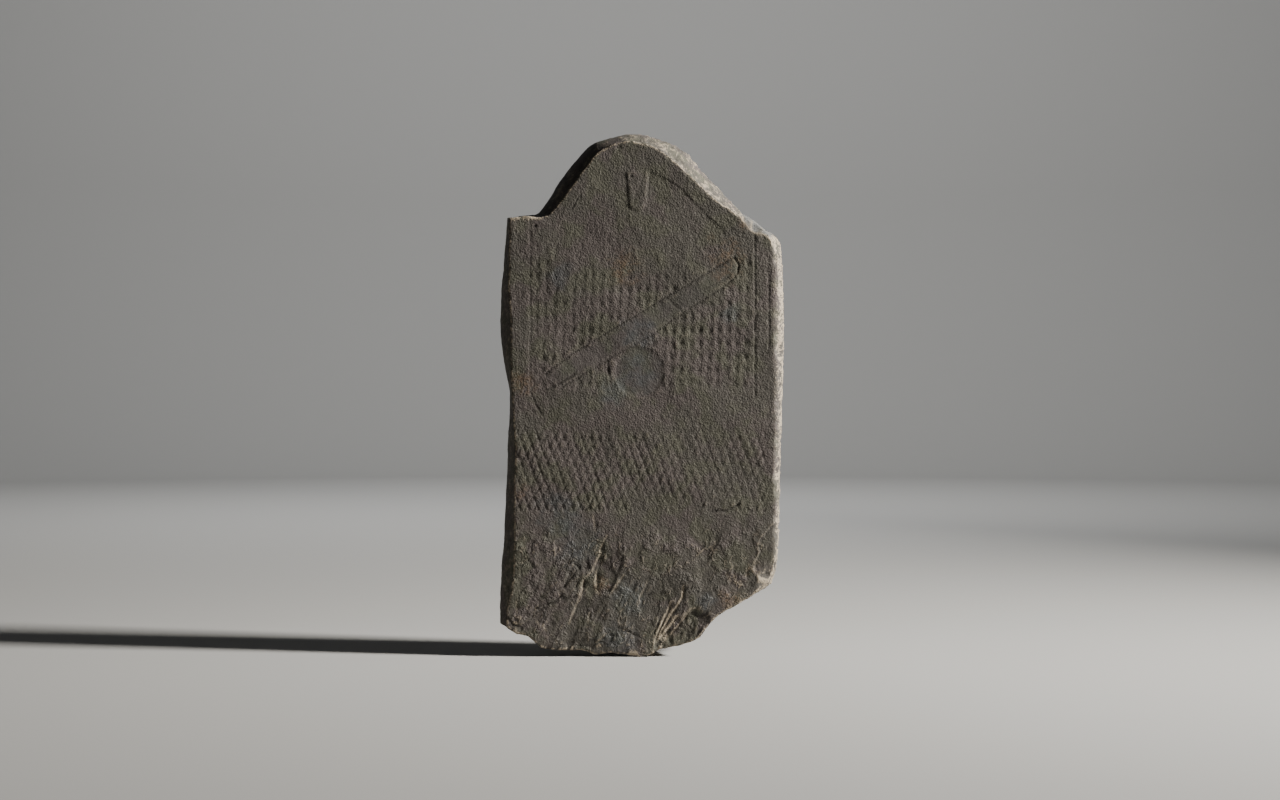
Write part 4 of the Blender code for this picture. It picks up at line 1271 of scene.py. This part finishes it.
def schist():
    """Dark warm schist: rosy and olive tones, slaty and rusty patches, flecks and dark specks, pale worn
    edges,
    and painted light: shade in the hollows and thin lines, highlight on high bumps, on ledges and patches
    that face the light and on the right side, and on the flaked foot thin fibres with a painted shaded side
    and a painted highlighted side. Each tone is laid over those before it."""
    finish = Finish("schist")
    place = finish.add("ShaderNodeTexCoord", output=3)
    broad = finish.grain(place, 90 * MM, 4)
    middling = finish.grain(place, 22 * MM, 4, 0.65)
    tint = finish.grain(place, 48 * MM, 2, 0.5)
    fine = finish.grain(place, 6 * MM, 3, 0.75)
    finest = finish.grain(place, 3 * MM, 2, 0.6)
    elsewhere = finish.add("ShaderNodeMapping", {}, {"Vector": place, "Location": (3, 5, 7)})
    specks = finish.grain(elsewhere, 4 * MM, 2)
    upright = finish.add("ShaderNodeMapping", {}, {"Vector": place, "Scale": (1, 1, 0.35)})
    streaks = finish.grain(upright, 3.5 * MM, 2, 0.6)
    painted_hollow_shade, near_edge, rusty, slaty, fresh, pale, ledge_highlight, on_rubbed, on_flaked = map(finish.kept, KEPT)
    along = finish.add(
        "ShaderNodeMapping", {"vector_type": "TEXTURE"},
        {
            "Vector": place, "Scale": (1, 1, FIBRE_STRETCH),
            "Rotation": (0, np.pi / 2 - np.radians(FLAKE_RUN), 0),
        },
    )
    fibres = finish.grain(along, FIBRE_SIZE, 2, 0.55)
    broken_up = on_flaked * finish.between(middling, 0.46, 0.58)
    # Pale on the high bumps, where the stone lies above that about it: painted highlight
    raised_highlight = finish.between(0.5 - painted_hollow_shade + fine * 0.5, 0.9, 2.0)
    # Worn edge, with painted highlight on the right side, which faces the light, and on the pale patches
    wear_and_highlight = near_edge + pale * 0.45
    grainy = fine + finest * 0.7 + middling * 0.4 - painted_hollow_shade * 0.4
    worn = finish.between(grainy + wear_and_highlight * 0.3, 1.16, 1.3) * finish.between(wear_and_highlight, 0, 0.3)
    # Thin bands along the flaked foot's fibres: painted shade on one side of each line and painted highlight
    # on the other
    painted_flake_shade = finish.between(fibres, 0.41, 0.43) - finish.between(fibres, 0.43, 0.45)
    painted_flake_highlight = finish.between(fibres, 0.44, 0.46) - finish.between(fibres, 0.46, 0.48)

    color = BROWN_GREY
    for share, tone in (
        (finish.between(broad, 0.42, 0.56), ROSY_GREY),
        (finish.between(tint, 0.46, 0.62), OLIVE_GREY),
        (slaty * finish.between(middling, 0.25, 0.6) * 0.6, SLATY_GREY),
        (on_rubbed * 0.12, SLATY_GREY),
        (rusty * finish.between(fine + middling, 0.85, 1.25) * 0.6, RUSTY_BROWN),
        # painted shade in the hollows and the thin lines
        (finish.between(painted_hollow_shade + fine, 0.7, 1.7) * 0.7, SPECK_AND_SHADE_BROWN),
        # painted highlight on the high bumps
        (raised_highlight * 0.35, WORN_AND_LIT_GREY),
        # worn edge and painted highlight on the side that faces the light
        (worn * 0.85, WORN_AND_LIT_GREY),
        (fresh * (1 - pale) * 0.95, FRESH_GREY),
        (finish.between(finest, 0.56, 0.72) * 0.45, FLECK_GREY),
        (finish.between(specks, 0.56, 0.7) * 0.4, SPECK_AND_SHADE_BROWN),
        # painted shade and painted highlight on the two sides of the flake fibres
        (painted_flake_shade * broken_up * 0.45, SPECK_AND_SHADE_BROWN),
        (painted_flake_highlight * broken_up * 0.4, WORN_AND_LIT_GREY),
        # painted highlight on the ledges that face the light
        (ledge_highlight * finish.between(fine, 0.3, 0.5) * 0.38, WORN_AND_LIT_GREY),
    ):
        color = finish.mix(share, color, tone)
    finish.feed(finish.shader.inputs["Base Color"], color)

    roughness = 0.74 + 0.2 * fine - 0.14 * slaty
    finish.feed(finish.shader.inputs["Roughness"], roughness)
    height = finish.pits(place, 3.0 * MM) * 0.35 + fine * 0.55 + finest * 0.3 + streaks * 0.2
    flakes_on_it = finish.between(fibres, 0.42, 0.46) + finish.between(fibres, 0.56, 0.6)
    height = height * (1 - on_rubbed * 0.4 - on_flaked * 0.25)
    height = height + flakes_on_it * (0.03 + 0.1 * on_flaked + 0.6 * broken_up)
    bump = finish.add("ShaderNodeBump", {}, {"Strength": 1.0, "Distance": 1.35 * MM, "Height": height})
    finish.feed(finish.shader.inputs["Normal"], bump)
    finish.shader.inputs["Metallic"].default_value = 0.0
    finish.shader.inputs["Specular IOR Level"].default_value = 0.35
    finish.material.diffuse_color = BROWN_GREY
    return finish.material


def camera():
    data = bpy.data.cameras.new("camera")
    data.lens = CAMERA_LENS
    data.sensor_width = CAMERA_SENSOR
    made = linked("camera", data)
    made.location = CAMERA_PLACE
    made.rotation_euler = (np.pi / 2, 0, 0)
    bpy.context.scene.camera = made


def room():
    """A round pale floor that bends up into a wall: a profile of a flat, a quarter circle and a wall,
    turned about the upright axis."""
    flat = np.stack([np.linspace(0.02, ROOM_RADIUS - ROOM_BEND, ROOM_RINGS), np.zeros(ROOM_RINGS)], axis=1)
    turn = np.linspace(0, np.pi / 2, ROOM_RINGS)[1:]
    bend = np.stack([np.sin(turn), 1 - np.cos(turn)], axis=1) * ROOM_BEND + (ROOM_RADIUS - ROOM_BEND, 0)
    wall = np.stack([np.full(2, ROOM_RADIUS), np.linspace(ROOM_BEND, ROOM_HEIGHT, 3)[1:]], axis=1)
    profile = np.vstack([flat, bend, wall])
    angle = 2 * np.pi * np.arange(ROOM_SPOKES) / ROOM_SPOKES
    radius, z = profile[:, :1], np.repeat(profile[:, 1:], ROOM_SPOKES, axis=1)
    points = np.stack([radius * np.cos(angle), radius * np.sin(angle), z + LOW.z], axis=-1).reshape(-1, 3)
    grid = np.arange(len(points)).reshape(len(profile), ROOM_SPOKES)
    faces = [face for before, after in zip(grid[:-1], grid[1:]) for face in band_faces(before, after)]
    mesh = bpy.data.meshes.new("floor")
    mesh.from_pydata(points.tolist(), [], [list(map(int, face)) for face in faces] + [grid[0].tolist()])
    mesh.shade_smooth()
    finish = Finish("pale floor")
    finish.shader.inputs["Base Color"].default_value = FLOOR_GREY
    finish.shader.inputs["Roughness"].default_value = 0.9
    mesh.materials.append(finish.material)
    made = linked("floor", mesh)


def softbox(name, place, size, power, color=(1, 1, 1), spread=180, aim=(0, 0, HEIGHT / 2)):
    """A square area light that faces a point, the middle of the slab unless told, out of the picture."""
    data = bpy.data.lights.new(name, "AREA")
    data.size = size
    data.energy = power
    data.color = color
    data.spread = np.radians(spread)
    made = linked(name, data)
    made.location = place
    made.rotation_euler = (Vector(place) - Vector(aim)).to_track_quat("Z", "Y").to_euler()
    made.visible_camera = False


def lights():
    """A strong key from the upper right that grazes the front, and weak fills."""
    softbox("key", (4.3, -0.78, 2.7), 0.5, 170, (1.0, 0.965, 0.91), 70)
    softbox("fill", (-3.0, -4.4, 2.4), 2.4, 2, (0.93, 0.96, 1.0))
    softbox("back fill", (-1.5, 4.6, 3.2), 2.2, 10)
    softbox("wall light", (0, 3.0, 4.4), 3.0, 420, aim=(0, 8.5, 1.2))
    world = bpy.data.worlds.new("studio")
    bpy.context.scene.world = world
    world.use_nodes = True
    world.node_tree.nodes["Background"].inputs["Color"].default_value = (0.9, 0.94, 1.0, 1)
    world.node_tree.nodes["Background"].inputs["Strength"].default_value = 0.03


camera()
stele()
room()
lights()
